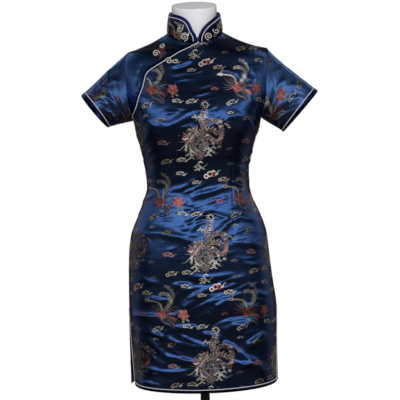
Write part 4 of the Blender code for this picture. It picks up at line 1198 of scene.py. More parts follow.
def sample(grid, row, column, lift):
    """Points lift above a grid of points, at fractional rows and columns."""
    row = np.clip(row, 0, grid.shape[0] - 1.001)
    column = np.clip(column, 0, grid.shape[1] - 1.001)
    r, c = row.astype(int), column.astype(int)
    down, along = (row - r)[:, None], (column - c)[:, None]
    near, far = grid[r, c], grid[r, c + 1]
    below, beyond = grid[r + 1, c], grid[r + 1, c + 1]
    top, bottom = near * (1 - along) + far * along, below * (1 - along) + beyond * along
    across = (far - near) * (1 - down) + (beyond - below) * down
    up = (below - near) * (1 - along) + (beyond - far) * along
    away = unit(np.cross(across, up)) * np.reshape(lift, (-1, 1))
    return top * (1 - down) + bottom * down + away


# Heights and angles at which the distances round the cloth are tabled.
ARC_STEP = 10.0
ARC_HEIGHTS = np.arange(0, 840, ARC_STEP)
ARC_ANGLES = np.arange(-100, 101, 1.0)


def arc_table(turn):
    """Distances along the cloth from its middle line, for each height and angle."""
    angles, heights = np.meshgrid(ARC_ANGLES + turn, ARC_HEIGHTS)
    points = bare_point(angles, heights)
    lengths = np.linalg.norm(np.diff(points, axis=1), axis=-1)
    table = np.c_[np.zeros(len(heights)), np.cumsum(lengths, axis=1)]
    return table - table[:, len(ARC_ANGLES) // 2][:, None]


def angle_at(table, across, height):
    """The angle whose distance from the middle line is this."""
    where = np.clip(height / ARC_STEP, 0, len(ARC_HEIGHTS) - 1.001)
    lower = where.astype(int)
    found = np.zeros(len(across))
    for row in np.unique(lower):
        mine = lower == row
        share = where[mine] - row
        near, far = [np.interp(across[mine], table[at], ARC_ANGLES) for at in (row, row + 1)]
        found[mine] = near * (1 - share) + far * share
    return found


# How far motifs stay from a plain edge, and from the inner edge of a binding.
MOTIF_MARGIN, BINDING_MARGIN = 1.5, 1
# The angles at which the margins beside the seams are turned into degrees.
FRONT_MARGIN_ANGLE, BACK_MARGIN_ANGLE = 80.0, 100.0


def panel_place(grid, levels, edges, turn, limits, tucked):
    """A function that lays flat points on a panel; limits gives where motifs may show."""
    table = arc_table(turn)
    start_at, end_at = edges

    def place(across, up, lift):
        angle = angle_at(table, across, up) + turn
        level = level_of(up, angle)
        start, end = start_at(level), end_at(level)
        share = (angle - start) / (end - start)
        columns = grid.shape[1] - 1 - sum(tucked)
        row = np.interp(level, levels, np.arange(len(levels)))
        first, last = limits(level)
        inside = (angle > first) & (angle < last)
        inside &= (level > BINDING_WIDTH + BINDING_MARGIN) & (level < levels[-1] - BINDING_MARGIN)
        return sample(grid, row, tucked[0] + share * columns, lift), inside

    return place


# Painted shade and painted highlight on motifs of the front: number in the repeat, column and row,
# then strength. Below 1 is painted shade on motifs turned from the light, above 1 a painted
# highlight.
FRONT_PAINTED_LIGHT = {
    (1, -1, 0): 0.5, (1, -1, 1): 0.6, (1, -1, 2): 0.65, (1, 0, 0): 0.6, (1, 0, 1): 0.65,
    (1, 0, 2): 1.12, (0, -1, 0): 0.65, (0, -1, 1): 0.65, (0, -1, 2): 0.65, (0, 1, 1): 0.65,
    (0, 0, 0): 0.85,
}
# The small clouds get painted shade too, most of all on the skirt.
for row, strength in ((-1, 0.7), (0, 0.7), (1, 0.82)):
    for column in (-1, 0):
        FRONT_PAINTED_LIGHT.update({(number, column, row): strength for number in range(5, len(REPEAT))})

# What falls on the collar: across from its middle at the back, and up from the neck seam.
COLLAR_MOTIFS = [
    (make_cloud("gold", "cream"), -150, 13, 25, 1.0),
    (make_cloud("green", "white"), -134, 22, -20, 1.1),
    (make_phoenix(), -112, 12, 0, 0.55),
    (make_chrysanthemum(), -76, 22, 0, 0.8),
    (make_cloud("grey", "cream"), -40, 30, 8, 1.0),
    (make_phoenix(), 6, 10, 0, 0.6),
    (make_cloud("red", "white"), 48, 18, 10, 1.1),
    (make_cloud("grey", "cream"), 78, 34, 0, 1.0),
    (make_chrysanthemum(), 98, 16, 0, 0.8),
    (make_phoenix(), 132, 12, 0, 0.6),
    (make_cloud("green", "cream"), 150, 30, 60, 1.1),
    (make_cloud("grey", "white"), 158, 16, 20, 0.9),
]
SLEEVE_SEEDS = {"right": 21, "left": 34}

# How the pieces are cut from the pattern. The shift is where a dragon of row and column 0 lies.
# The strength darkens all motifs of a piece as painted shade; the last field gives painted shade
# and painted highlight to single motifs.
Cut = namedtuple("Cut", "shift columns rows seed strength motifs dull",
                 defaults=(5, 1.0, REPEAT, {}))
CUTS = {
    "front": Cut((12.8, 37.0), (-2, -1, 0, 1), (-1, 0, 1, 2, 3), dull=FRONT_PAINTED_LIGHT),
    "back": Cut((35.0, 20.0), (-2, -1, 0, 1), (-1, 0, 1, 2, 3)),
    # The flap's and the sleeves' motifs are darkened by their strength: painted shade.
    "flap": Cut((-11.0, 126.0), (0,), (1, 2, 3), strength=0.75),
    "sleeve_right": Cut((-40.0, -62.0), (-1, 0, 1), (-1, 0, 1), SLEEVE_SEEDS["right"], 0.5),
    "sleeve_left": Cut((70.0, -80.0), (-1, 0, 1), (-1, 0, 1), SLEEVE_SEEDS["left"], 0.5),
    "collar": Cut((0.0, 0.0), (0,), (0,), motifs=COLLAR_MOTIFS),
}


# ---------------- cloth pieces

# Softening of a panel's shoulder: the height it starts at, how many times it is done, the
# columns at each edge that it leaves alone, and how far it takes to reach its full strength.
EASE_FROM, EASE_ROUNDS, EASE_MARGIN, EASE_RUN = 760, 70, 3, 12


def eased_shoulder(grid):
    """The same points with the break between chest and shoulder softened; edges stay put."""
    columns = grid.shape[1]
    near_edge = np.minimum(np.arange(columns), columns - 1 - np.arange(columns))
    inside = np.clip((near_edge - EASE_MARGIN) / EASE_RUN, 0, 1)[None, :, None]
    high = np.clip((grid[:, :, 2:] - EASE_FROM) / EASE_RUN, 0, 1)
    share = (0.5 * inside * high)[1:-1]
    for _ in range(EASE_ROUNDS):
        between = (grid[:-2] + grid[2:]) / 2
        grid[1:-3] += (share * (between - grid[1:-1]))[:-2]
    return grid


def edged_grid(levels, edges, columns, tuck, lift):
    """Rows between two edges, with the top and the tucked edges turned in so that seams close."""
    start_at, end_at = edges
    angles = np.linspace(start_at(levels), end_at(levels), columns, axis=1)
    lifts = np.full(angles.shape, lift)
    turned_in = np.full((len(levels), 1), TUCKED_LIFT)
    if tuck[0]:
        lifts[:, 0] += EDGE_LIFT
        angles = np.c_[angles[:, :1], angles]
        lifts = np.c_[turned_in, lifts]
    if tuck[1]:
        lifts[:, -1] += EDGE_LIFT
        angles = np.c_[angles, angles[:, -1:]]
        lifts = np.c_[lifts, turned_in]
    angles = np.r_[angles, angles[-1:]]
    lifts = np.r_[lifts, np.full((1, lifts.shape[1]), TUCKED_LIFT)]
    levels = np.r_[levels, levels[-1:]]
    return on_body(np.broadcast_to(levels[:, None], angles.shape), angles, lifts)


def spaced(low, high, step):
    """Evenly spaced values about a step apart, ends included."""
    return np.linspace(low, high, int(round((high - low) / step)) + 1)


# How far the front stays beside the opening's line, and the flap under its binding.
OPENING_OVERLAP, FLAP_TUCK = 1.5, 3.0


def side_edge(turn, side, cut):
    """A function that gives the angle of a panel's edge at its side seam."""
    return lambda level: turn + side * side_limit(level, cut)


front_right, flap_left = side_edge(0, 1, ARMHOLE_FRONT), side_edge(0, -1, ARMHOLE_FRONT)
back_left, back_right = side_edge(180, -1, ARMHOLE_BACK), side_edge(180, 1, ARMHOLE_BACK)


def front_left(level):
    """The front panel's left edge: the side seam, and the opening above the underarm."""
    opening = PIPING_LINE(level) - degrees_for(OPENING_OVERLAP, level, FLAP_ANGLE)
    return np.where(level > UNDERARM, opening, flap_left(level))


def flap_right(level):
    """The flap runs on a little under the opening's binding."""
    return PIPING_LINE(level) - degrees_for(FLAP_TUCK, level, FLAP_ANGLE)


def motif_margin(level, angle):
    """How far from a panel's side its motifs end, in degrees."""
    bound = BINDING_WIDTH + BINDING_MARGIN
    return degrees_for(np.where(level < SLIT_TOP, bound, MOTIF_MARGIN), level, angle)


def front_limits(level):
    margin = motif_margin(level, FRONT_MARGIN_ANGLE)
    left = front_left(level) + margin + np.where(level > UNDERARM, MOTIF_MARGIN, 0)
    return left, front_right(level) - margin


def back_limits(level):
    margin = motif_margin(level, BACK_MARGIN_ANGLE)
    return back_left(level) + margin, back_right(level) - margin


def flap_limits(level):
    return flap_left(level) + MOTIF_MARGIN, BINDING_UPPER(level) - BINDING_MARGIN


def upper_levels(start, step, top_step, top=NECK_SIDE):
    """Levels from a start above the underarm to the neck, with one at the shoulder."""
    return np.r_[spaced(start, SHOULDER, step), spaced(SHOULDER + 1, top, top_step)]


def panel_levels(step, top_step):
    """Levels from the hem to the neck, with one at the underarm and one at the shoulder."""
    return np.r_[spaced(1.5, UNDERARM, step), upper_levels(UNDERARM + 1, step, top_step)]


def make_panels(look, threads):
    """The front, the back and the flap under the opening, each with its motifs."""
    front_step, front_columns, back_step, back_columns = (
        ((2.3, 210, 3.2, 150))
    )
    flap_levels = upper_levels(UNDERARM + 6, 3.0, 2.0)
    made = []
    for name, node, levels, columns, edges, limits, turn, tuck, lift in (
        ("front", "front_panel", panel_levels(front_step, 1.8), front_columns,
         (front_left, front_right), front_limits, 0, (True, True), 0.0),
        ("back", "back_panel", panel_levels(back_step, 2.0), back_columns,
         (back_left, back_right), back_limits, 180, (True, True), 0.0),
        ("flap", "chest_flap", flap_levels, 70,
         (flap_left, flap_right), flap_limits, 0, (True, False), -0.35),
    ):
        grid = edged_grid(levels, edges, columns, tuck, lift)
        if name != "flap":
            grid = eased_shoulder(grid)
        cloth = grid_piece(f"{node}_cloth", grid, look, node)
        place = panel_place(grid, levels, edges, turn, limits, tuck)
        made.append((cloth, brocading(name, place, threads)))
    return made


HEM_POINTS = 120
# The domed outer side of a binding that lies on the cloth: share of its width, lift.
LAID_SECTION = [(0, -0.5), (0.02, 0.5), (0.1, 0.8), (0.5, 0.9), (0.9, 0.8), (0.98, 0.5), (1, -0.5)]
# A binding that wraps a free edge, from the cloth's outside round to its inside: inset, lift.
WRAPPED_SECTION = [
    (8, -0.5), (7.9, 0.5), (7.2, 0.75), (4, 0.85), (1.0, 0.75), (0.2, 0.3), (0, -0.6), (0.4, -1.6),
    (2, -2.1), (7.5, -2.1),
]


def make_opening(bias, piping):
    """The binding along the slanting opening, and the piping at its lower edge."""
    levels = upper_levels(UNDERARM + 4, 2.5, 1.6, NECK_SIDE + 1)[::-1]
    upper, lower = BINDING_UPPER(levels), PIPING_LINE(levels)
    rows = [on_body(levels, lower + (upper - lower) * share, lift) for share, lift in LAID_SECTION]
    binding = grid_piece("opening_binding", np.array(rows)[::-1], bias, "binding_opening")
    levels = upper_levels(UNDERARM + 5, 2.5, 1.6)
    points = on_body(levels, PIPING_LINE(levels), PIPING_LIFT)
    return binding, piping_cord("opening_piping", points, piping, "piping_opening")


def hem_points(turn, inset, lift):
    """A line along one slit, the hem and the other slit of the front (0) or back (180)."""
    cut = ARMHOLE_BACK if turn else ARMHOLE_FRONT
    slit = spaced(BINDING_WIDTH + 1, SLIT_TOP - 0.5, 4.0)
    edge, limit = side_limit(slit, cut, inset), side_limit(float(inset), cut, inset)
    angles = np.r_[-edge[::-1], np.linspace(-limit, limit, HEM_POINTS), edge] + turn
    levels = np.r_[slit[::-1], np.full(HEM_POINTS, float(inset)), slit]
    return on_body(levels, angles, lift)


def make_hem(side, turn, bias, piping):
    """The binding round the slits and hem of the front or back, and its piping."""
    rows = [hem_points(turn, inset, lift) for inset, lift in WRAPPED_SECTION]
    binding = grid_piece(f"hem_binding_{side}", np.array(rows)[::-1], bias,
                         f"binding_hem_{side}")
    points = hem_points(turn, BINDING_WIDTH, PIPING_LIFT)
    return binding, piping_cord(f"hem_piping_{side}", points, piping, f"piping_hem_{side}")


# ---------------- sleeves


def armhole_ring(side, count):
    """The armhole's points, from the shoulder down the front and from the underarm up the back."""
    turn = np.pi * np.arange(count + 1) / count
    levels = UNDERARM + (SHOULDER - UNDERARM) * (1 - np.cos(turn)) / 2
    front = side * (90 - armhole_cut(levels, ARMHOLE_FRONT))
    back = side * (90 + armhole_cut(levels, ARMHOLE_BACK))
    angles = np.r_[front[::-1], back[1:-1]]
    heights = height_at(np.r_[levels[::-1], levels[1:-1]], angles)
    return bare_point(angles, heights) + outward(angles, heights) * swelling(angles, heights)[:, None]


def sleeve_rows(cuff, shares, lift, count, fold=None):
    """The sleeve's rings at shares of the way from the armhole to the cuff."""
    side = cuff.side
    top = np.array((side * cuff.top_x, cuff.centre_y, cuff.top_height), float)
    bottom = np.array((side * cuff.bottom_x, cuff.centre_y, cuff.bottom_height), float)
    up = (top - bottom) / 2
    half = np.linalg.norm(up)
    out = unit(np.array((side * up[2], -cuff.turn * half, -side * up[0])))
    forward = np.array((0, -1.0, 0))
    forward = unit(forward - out * forward.dot(out)) * (cuff.depth / 2)
    ring = armhole_ring(side, count)
    lengths = np.linalg.norm(np.roll(ring, -1, axis=0) - ring, axis=1)
    turn = 2 * np.pi * np.r_[0, np.cumsum(lengths)[:-1]] / lengths.sum()
    rise, ahead = np.cos(turn)[:, None], np.sin(turn)[:, None]
    end = (top + bottom) / 2 + rise * up + ahead * forward
    around = unit(rise * up / half + ahead * unit(forward))
    radial = unit((ring - ring.mean(axis=0)) * (0, 1, 1))
    chord = end - ring
    length = np.linalg.norm(chord, axis=1)[:, None]
    leave = chord + np.array((side, 0, 0)) * length * cuff.crown
    arrive = chord * (1 - CUFF_PULL) + out * length * CUFF_PULL
    rows = []
    for t in shares:
        push = lift + (fold(turn, t) if fold else np.zeros(len(turn)))
        away = unit(radial * (1 - t) + around * t) * push[:, None]
        rows.append(smooth_step(ring, leave, end, arrive, t) + away)
    rows = np.array(rows)
    return rows if side > 0 else rows[:, ::-1]


# Folds of the sleeves: width, lift, then points as (round from the top through the front, along).
SLEEVE_CREASES = {
    "right": [
        (7, 2.8, (150, 8), (118, 20), (84, 26), (50, 26)),
        (6, -2.2, (150, 15), (118, 33), (92, 44), (64, 54)),
        (6, 2.6, (150, 22), (124, 48), (104, 84)),
        (5, -1.8, (158, 28), (136, 60), (124, 98)),
        (6, 2.2, (106, 46), (78, 60), (52, 84)),
        (5, 1.6, (64, 10), (50, 34), (46, 64)),
        (5, -1.5, (40, 16), (32, 48), (38, 84)),
        (5, 1.8, (24, 12), (14, 44), (20, 82)),
        (5, 1.5, (92, 66), (74, 84), (66, 104)),
        (4, 1.3, (132, 44), (118, 70), (114, 96)),
        (7, 2.6, (176, 10), (212, 26), (252, 32)),
        (6, -2.0, (176, 22), (208, 48), (236, 84)),
        (6, 2.0, (248, 28), (270, 58), (278, 92)),
        (5, 1.5, (300, 18), (296, 54), (304, 90)),
    ],
    "left": [
        (7, 2.6, (146, 8), (112, 16), (76, 17), (44, 13)),
        (6, -2.2, (150, 17), (120, 30), (86, 32), (58, 28)),
        (6, 2.4, (150, 30), (124, 44), (98, 56), (76, 74)),
        (6, -2.0, (140, 46), (112, 62), (92, 84)),
        (6, 2.0, (84, 32), (60, 40), (36, 56)),
        (5, 1.6, (60, 52), (42, 70), (34, 94)),
        (5, -1.4, (74, 60), (58, 80), (52, 100)),
        (5, 1.6, (26, 8), (20, 36), (26, 66)),
        (5, 1.5, (114, 78), (96, 90), (84, 106)),
        (4, 1.3, (46, 22), (30, 34), (12, 40)),
        (7, 2.4, (178, 10), (214, 22), (256, 28)),
        (6, -2.0, (178, 24), (206, 50), (228, 88)),
        (6, 1.9, (244, 36), (262, 62), (270, 96)),
        (5, 1.5, (296, 14), (300, 48), (296, 86)),
    ],
}
# Zones of their short creases, as round, along, half sizes, slope and lift.
SLEEVE_ZONES = [
    (60, 40, 60, 40, 0.9, 0.9),
    (100, 70, 50, 40, -0.8, 0.9),
    (30, 70, 40, 40, 0.3, 0.8),
    (230, 50, 90, 50, 0.7, 0.9),
]
SLEEVE_RADIUS, SLEEVE_LENGTH = 52.0, 110.0
SLEEVE_SHORT_CREASES = 22
# How quickly folds start at the armhole and end at the cuff.
SLEEVE_HOLD = 0.4
# How far a sleeve's motifs stay from its binding and from the armhole.
CUFF_MARGIN, ARMHOLE_MARGIN = 2, 3


def sleeve_fold(name):
    """Folds that spread from the underarm, and short creases between them."""
    creases = SLEEVE_CREASES[name] + short_creases(
        SLEEVE_SEEDS[name], SLEEVE_SHORT_CREASES, SLEEVE_ZONES)

    def fold(turn, share):
        along = np.full(turn.shape, share * SLEEVE_LENGTH)
        held = math.sin(math.pi * share) ** SLEEVE_HOLD
        return fold_field(creases, turn * SLEEVE_RADIUS, along) * held

    return fold


def sleeve_place(grid):
    """A function that lays flat points on a sleeve: across from its front, up from its cuff."""
    grid = np.concatenate([grid, grid[:, :1]], axis=1)
    middle = grid[len(grid) // 2]
    spacing = np.linalg.norm(np.diff(middle, axis=0), axis=1).mean()
    front = int(middle[:-1, 1].argmin())
    columns = grid.shape[1] - 1

    def place(across, up, lift):
        row = (1 - up / SLEEVE_LENGTH) * (len(grid) - 1)
        column = (front - across / spacing) % columns
        inside = (up > BINDING_WIDTH + CUFF_MARGIN) & (up < SLEEVE_LENGTH - ARMHOLE_MARGIN)
        inside &= (np.abs(across) < columns * spacing / 2) & (column > 1) & (column < columns - 1)
        return sample(grid, row, column, lift), inside

    return place


def make_sleeve(name, cuff, look, bias, piping, threads):
    """A sleeve with its motifs, the binding that wraps its cuff, and the binding's piping."""
    count, rings = ((120, 64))
    width = BINDING_WIDTH / SLEEVE_LENGTH
    body = sleeve_rows(cuff, np.linspace(0, 1 - width / 2, rings), 0.0, count, sleeve_fold(name))
    inner = sleeve_rows(cuff, [0.0], TUCKED_LIFT, count)
    sleeve = grid_piece(f"sleeve_{name}_cloth", np.concatenate([inner, body]), look,
                        f"sleeve_{name}", True)
    motifs = brocading(f"sleeve_{name}", sleeve_place(body), threads)
    rows = [sleeve_rows(cuff, [1 - inset / SLEEVE_LENGTH], lift, count)[0]
            for inset, lift in WRAPPED_SECTION]
    binding = grid_piece(f"cuff_binding_{name}", np.array(rows), bias, f"binding_cuff_{name}",
                         True)
    points = sleeve_rows(cuff, [1 - width], PIPING_LIFT, count)[0]
    cuff_cord = piping_cord(f"cuff_piping_{name}", points, piping, f"piping_cuff_{name}", True)
    return sleeve, binding, cuff_cord, motifs


# ---------------- collar


def collar_point(angle, height, lift):
    """A point of the collar, which leans in and bows out a little between its edges."""
    angle, height = np.broadcast_arrays(np.asarray(angle, float), np.asarray(height, float))
    base_height = neckline_height(angle)
    base = bare_point(angle, base_height)
    top = section_point(angle, COLLAR_TOP_HALF, COLLAR_TOP_FRONT, COLLAR_TOP_BACK, 0,
                        COLLAR_TOP_HEIGHT, 0)
    share = (height - base_height) / (COLLAR_TOP_HEIGHT - base_height)
    point = base + (top - base) * share[..., None]
    bow = COLLAR_BOW * 4 * share * (1 - share)
    return point + unit(point * (1, 1, 0)) * (bow + lift)[..., None]


def collar_outline(inset):
    """Angles and heights along the collar's free edge, this far inside it."""
    per_degree = math.radians(COLLAR_TOP_FRONT)
    angles, heights = COLLAR_OUTLINE[:, 0], COLLAR_OUTLINE[:, 1]
    places = np.r_[0, np.cumsum(np.hypot(np.diff(angles) * per_degree, np.diff(heights)))]
    angle_along, height_along = Curve(places, angles), Curve(places, heights)
    place = np.linspace(0, places[-1], COLLAR_COLUMNS)
    run = (angle_along(place + 0.5) - angle_along(place - 0.5)) * per_degree
    rise = height_along(place + 0.5) - height_along(place - 0.5)
    length = np.hypot(run, rise)
    angle = angle_along(place) + inset * rise / length / per_degree
    height = height_along(place) - inset * run / length
    return angle, np.maximum(height, neckline_height(angle) - 0.5)


def collar_place(grid, height):
    """A function that lays flat points on the collar: across from the back, up from the neck."""
    along = distances(grid[1])
    middle = along[-1] / 2
    numbers = np.arange(len(along))
    at_ends, at_seam, at_top = COLLAR_MARGINS

    def place(across, up, lift):
        column = np.interp(across + middle, along, numbers)
        high = np.interp(column, numbers, height)
        inside = (np.abs(across) < middle - at_ends) & (up > at_seam) & (up < high - at_top)
        row = 1 + up / np.maximum(high, 1.0) * (len(grid) - 2)
        return sample(grid, row, column, lift), inside

    return place


def make_collar(look, bias, piping, threads):
    """The stand collar with its motifs, its binding and the binding's piping."""
    angle, top = collar_outline(COLLAR_INSET)
    bottom = neckline_height(angle) - COLLAR_DROP
    high = np.maximum(top, bottom) - bottom
    rows = [collar_point(angle, bottom, TUCKED_LIFT)]
    for share in np.linspace(0, 1, COLLAR_ROWS):
        roll = COLLAR_ROLL * np.exp(-((high * share / COLLAR_ROLL_HEIGHT) ** 2))
        rows.append(collar_point(angle, bottom + high * share, COLLAR_LIFT - roll))
    grid = np.array(rows)
    collar = grid_piece("collar_cloth", grid, look, "collar")
    motifs = brocading("collar", collar_place(grid, high), threads)
    edges = [collar_point(*collar_outline(inset), lift) for inset, lift in WRAPPED_SECTION]
    binding = grid_piece("collar_binding", np.array(edges), bias, "binding_collar")
    angle, height = collar_outline(BINDING_WIDTH)
    keep = height > neckline_height(angle) + COLLAR_PIPING_START
    points = collar_point(angle[keep], height[keep], PIPING_LIFT + COLLAR_PIPING_RISE)
    return collar, binding, piping_cord("collar_piping", points, piping, "piping_collar"), motifs


# ---------------- frogs, form and stand

# Coils of the frogs: CAD node, x and height of the middle, turns, way, lift off the cloth.
COLLAR_COILS = [
    ("frog_collar_right_coil", -23.5, 807, 1.75, -1, 0.3),
    ("frog_collar_right_leaf", -33, 826, 1.1, 1, 0.3),
    ("frog_collar_left_coil", 30.5, 808, 1.75, 1, 0.5),
    ("frog_collar_left_leaf", 46, 821, 1.1, -1, 0.3),
]
CHEST_COILS = [
    ("frog_chest_upper_coil", -90, 771, 1.5, -1, 0.5),
    ("frog_chest_upper_leaf", -77, 788, 1.2, 1, 1.0),
    ("frog_chest_lower_coil", -61, 751, 1.5, 1, 2.4),
    ("frog_chest_lower_leaf", -45, 752, 1.0, -1, 0.3),
]
# Knots: x, height and lift off the cloth.
COLLAR_KNOT = (5.0, 801.0, 5.0)
CHEST_KNOT = (-72.5, 767.0, 4.6)
# Radius of the innermost turn, growth a turn, and the gap between the turns of one cord.
FROG_START, FROG_PITCH, COIL_PITCH = 2.4, 3.5, 4.9
# The cords of a coil, dark and pale: shift in radius, thickness, height off the cloth.
COIL_CORDS = [(-1.9, 1.25, 1.0), (0.4, 0.85, 1.2)]
# Knots: radius of the loops and of their cord, then of the pale ring and its cord.
KNOT_LOOPS, KNOT_CORD, KNOT_RING, KNOT_RING_CORD = 4.2 * 0.72, 1.25, 1.7, 0.5


# The search for an angle: how far it looks to each side, and how often it halves the range.
SEARCH_REACH, SEARCH_ROUNDS = 89.0, 30


def angle_for_x(x, height):
    """The angle on the front whose point has this x."""
    low, high = np.full(np.shape(x), -SEARCH_REACH), np.full(np.shape(x), SEARCH_REACH)
    for _ in range(SEARCH_ROUNDS):
        middle = (low + high) / 2
        left = bare_point(middle, height)[..., 0] < x
        low, high = np.where(left, middle, low), np.where(left, high, middle)
    return (low + high) / 2


def on_front(x, height, lift):
    """A point over the front, named by its x."""
    x, height = np.broadcast_arrays(np.asarray(x, float), np.asarray(height, float))
    return cloth_point(angle_for_x(x, height), height, lift)


def on_collar(x, height, lift):
    """A point over the collar's front, named by its x."""
    turn = math.degrees(1) * np.arcsin(np.clip(np.asarray(x, float) / SHOULDER_ROOT, -1, 1))
    return collar_point(turn, height, lift)


def frog_coil(coil, place, looks):
    """A coil of dark satin cord with a pale cord wound beside it."""
    name, x, height, turns, way, rests = coil
    share = np.linspace(0, turns, int(turns * 22))
    turn = 2 * np.pi * share
    outer = FROG_START + FROG_PITCH * turns
    lines = []
    for look, (offset, radius, rise) in enumerate(COIL_CORDS):
        reach = np.maximum(outer - COIL_PITCH * (turns - share) + offset, 0.3)
        points = place(x + way * reach * np.cos(turn), height + reach * np.sin(turn), rests + rise)
        lines.append((points, radius, look))
    cord(f"{name}_cord", lines, looks, name)


def frog_knot(name, centre, looks):
    """A ball button knotted from cord: loops round a small core, with a collar of pale cord."""
    turn = np.linspace(0, 2 * np.pi, 150)
    out = KNOT_LOOPS * np.sin(3 * turn)
    weave = [out * np.cos(2 * turn), KNOT_LOOPS * 0.8 * np.cos(5 * turn), out * np.sin(2 * turn)]
    ring = [KNOT_RING * np.cos(turn), 0 * turn - 1.0, KNOT_RING * np.sin(turn)]
    lines = [(centre + np.stack(weave, axis=-1), KNOT_CORD, 0),
             (centre + np.stack(ring, axis=-1), KNOT_RING_CORD, 1)]
    cord(f"{name}_cord", lines, looks, name, True)


def make_frogs(looks):
    """The fastenings on the collar and on the chest, each with its knot."""
    for coils, place in ((COLLAR_COILS, on_collar), (CHEST_COILS, on_front)):
        for coil in coils:
            frog_coil(coil, place, looks)
    frog_knot("frog_collar_knot", on_collar(*COLLAR_KNOT), looks)
    frog_knot("frog_chest_knot", on_front(*CHEST_KNOT), looks)


# How far the form lies inside the cloth: heights, then distances.
FORM_EASE = Curve(
    [0, 180, 240, 300, 435, 500, 580, 600, 620, 640, 660, 720, 790, 810, 820, 824],
    [17, 15, 9, 6, 7.5, 6.5, 4.5, 4.2, 5.4, 4.2, 3.6, 3.4, 3.6, 4.6, 7, 8],
)
FORM_ANGLES = np.arange(96) * 360 / 96
# The torso's highest ring, its number of rings, and what keeps it clear of the cloth's folds.
FORM_TOP, FORM_RINGS, FORM_CLEAR = 818, 90, 0.6
# Rings of the underside: size, and height above the lowest full ring.
FORM_UNDERSIDE = [(0.97, 0.2), (0.91, -3.8)]
# Rings of the neck: share of its height, and how much the edge at its top is rounded.
FORM_NECK = [(0, 0), (0.3, 0), (0.6, 0), (0.9, 0), (0.98, 0), (1, 0.5), (1, 2.5)]


def form_ring(level):
    """A ring of the form's torso, a little inside the cloth."""
    height = height_at(np.full(len(FORM_ANGLES), level), FORM_ANGLES)
    half = np.minimum(HALF_LEFT(height), HALF_RIGHT(height))
    point = section_point(FORM_ANGLES, half, DEPTH_FRONT(height), DEPTH_BACK(height),
                          SQUARENESS(height), height, RIDGE(height))
    ease = FORM_EASE(height) + FORM_CLEAR
    away = outward(FORM_ANGLES, height)
    return point + away * (swelling(FORM_ANGLES, height) - ease)[:, None]


def make_form(look):
    """The torso and neck in one, with a shallow underside and a tilted flat top."""
    rows = [form_ring(level) for level in np.linspace(FORM_BOTTOM, FORM_TOP, FORM_RINGS)]
    lowest = rows[0]
    for size, up in FORM_UNDERSIDE:
        row = lowest * (size, size, 0) + (0, 0, FORM_BOTTOM + up)
        rows.insert(0, row)
    for share, rounding in FORM_NECK:
        half = NECK_HALF - rounding
        row = section_point(FORM_ANGLES, half, half + 1, half - 6, 0, NECK_TOP, 0)
        top = row[:, 2] + row[:, 1] * math.tan(NECK_TILT) + (0 if share == 1 else -0.6)
        bottom = neckline_height(FORM_ANGLES) + NECK_CLEAR
        row[:, 2] = bottom + (top - bottom) * share
        rows.append(row)
    solid_of_rings("form_body", rows, look, "form_torso", 40)


def lathe(name, profile, look, node):
    """A turned piece from (radius, height above the floor) pairs."""
    turn = np.arange(128) * 2 * np.pi / 128
    rings = [np.stack([r * np.cos(turn), r * np.sin(turn), z - HEM_ABOVE_FLOOR + 0 * turn], -1)
             for r, z in profile]
    solid_of_rings(name, rings, look, node, 35)


def make_stand(look):
    """The pole, and the round plate with the boss that the pole stands in."""
    top = HEM_ABOVE_FLOOR + FORM_BOTTOM - 0.3
    lathe("stand_pole", [(10.4, 8.3), (11, 8.9), (11, top - 0.6), (10.4, top)], look, "form_pole")
    lathe("stand_base", [
        (158, 0), (159.4, 0.6), (160, 2), (160, 5), (159.4, 7), (157.6, 8), (24, 8), (20, 8.6),
        (17.8, 10.4), (17, 13.5), (17, 35), (16.7, 35.7), (16, 36), (11.3, 36), (11.3, 8), (0.5, 8),
    ], look, "form_base")


# ---------------- studio

# Light of the sky by elevation: degrees and strength, in front and at the sides.
FRONT_SKY = [(-90, 0.0), (-30, 0.010), (1, 0.018), (6, 0.06), (10, 0.24), (13, 0.75), (17, 1.6),
             (20, 1.45), (23, 0.6), (27, 0.16), (38, 0.025), (60, 0.012), (90, 0.01)]
SIDE_SKY = [(-90, 0.0), (-30, 0.02), (-4, 0.10), (6, 0.20), (14, 0.30), (24, 0.33), (31, 0.36),
            (38, 0.52), (46, 0.60), (54, 0.42), (62, 0.12), (70, 0.03), (90, 0.01)]
SKY_TINT = (0.060, 0.027, 0.017)
# Shares by the direction along one axis, from -1 to 1: where the side sky shows, from front to
# back and from left to right, and how much light the panels of the whole sky leave between them.
SIDES_BY_Y = [(-0.85, 0), (-0.6, 0.25), (-0.1, 0.3), (0.3, 1), (0.66, 1), (0.88, 0)]
SIDES_BY_X = [(-0.52, 1), (-0.4, 0), (0.4, 0), (0.52, 1)]
PANELS_BY_Y = [(-0.5, 1), (-0.25, 0.38), (0.12, 0.33), (0.32, 1), (0.65, 1), (0.88, 0.3)]
SOFT_LIGHT = 0.32


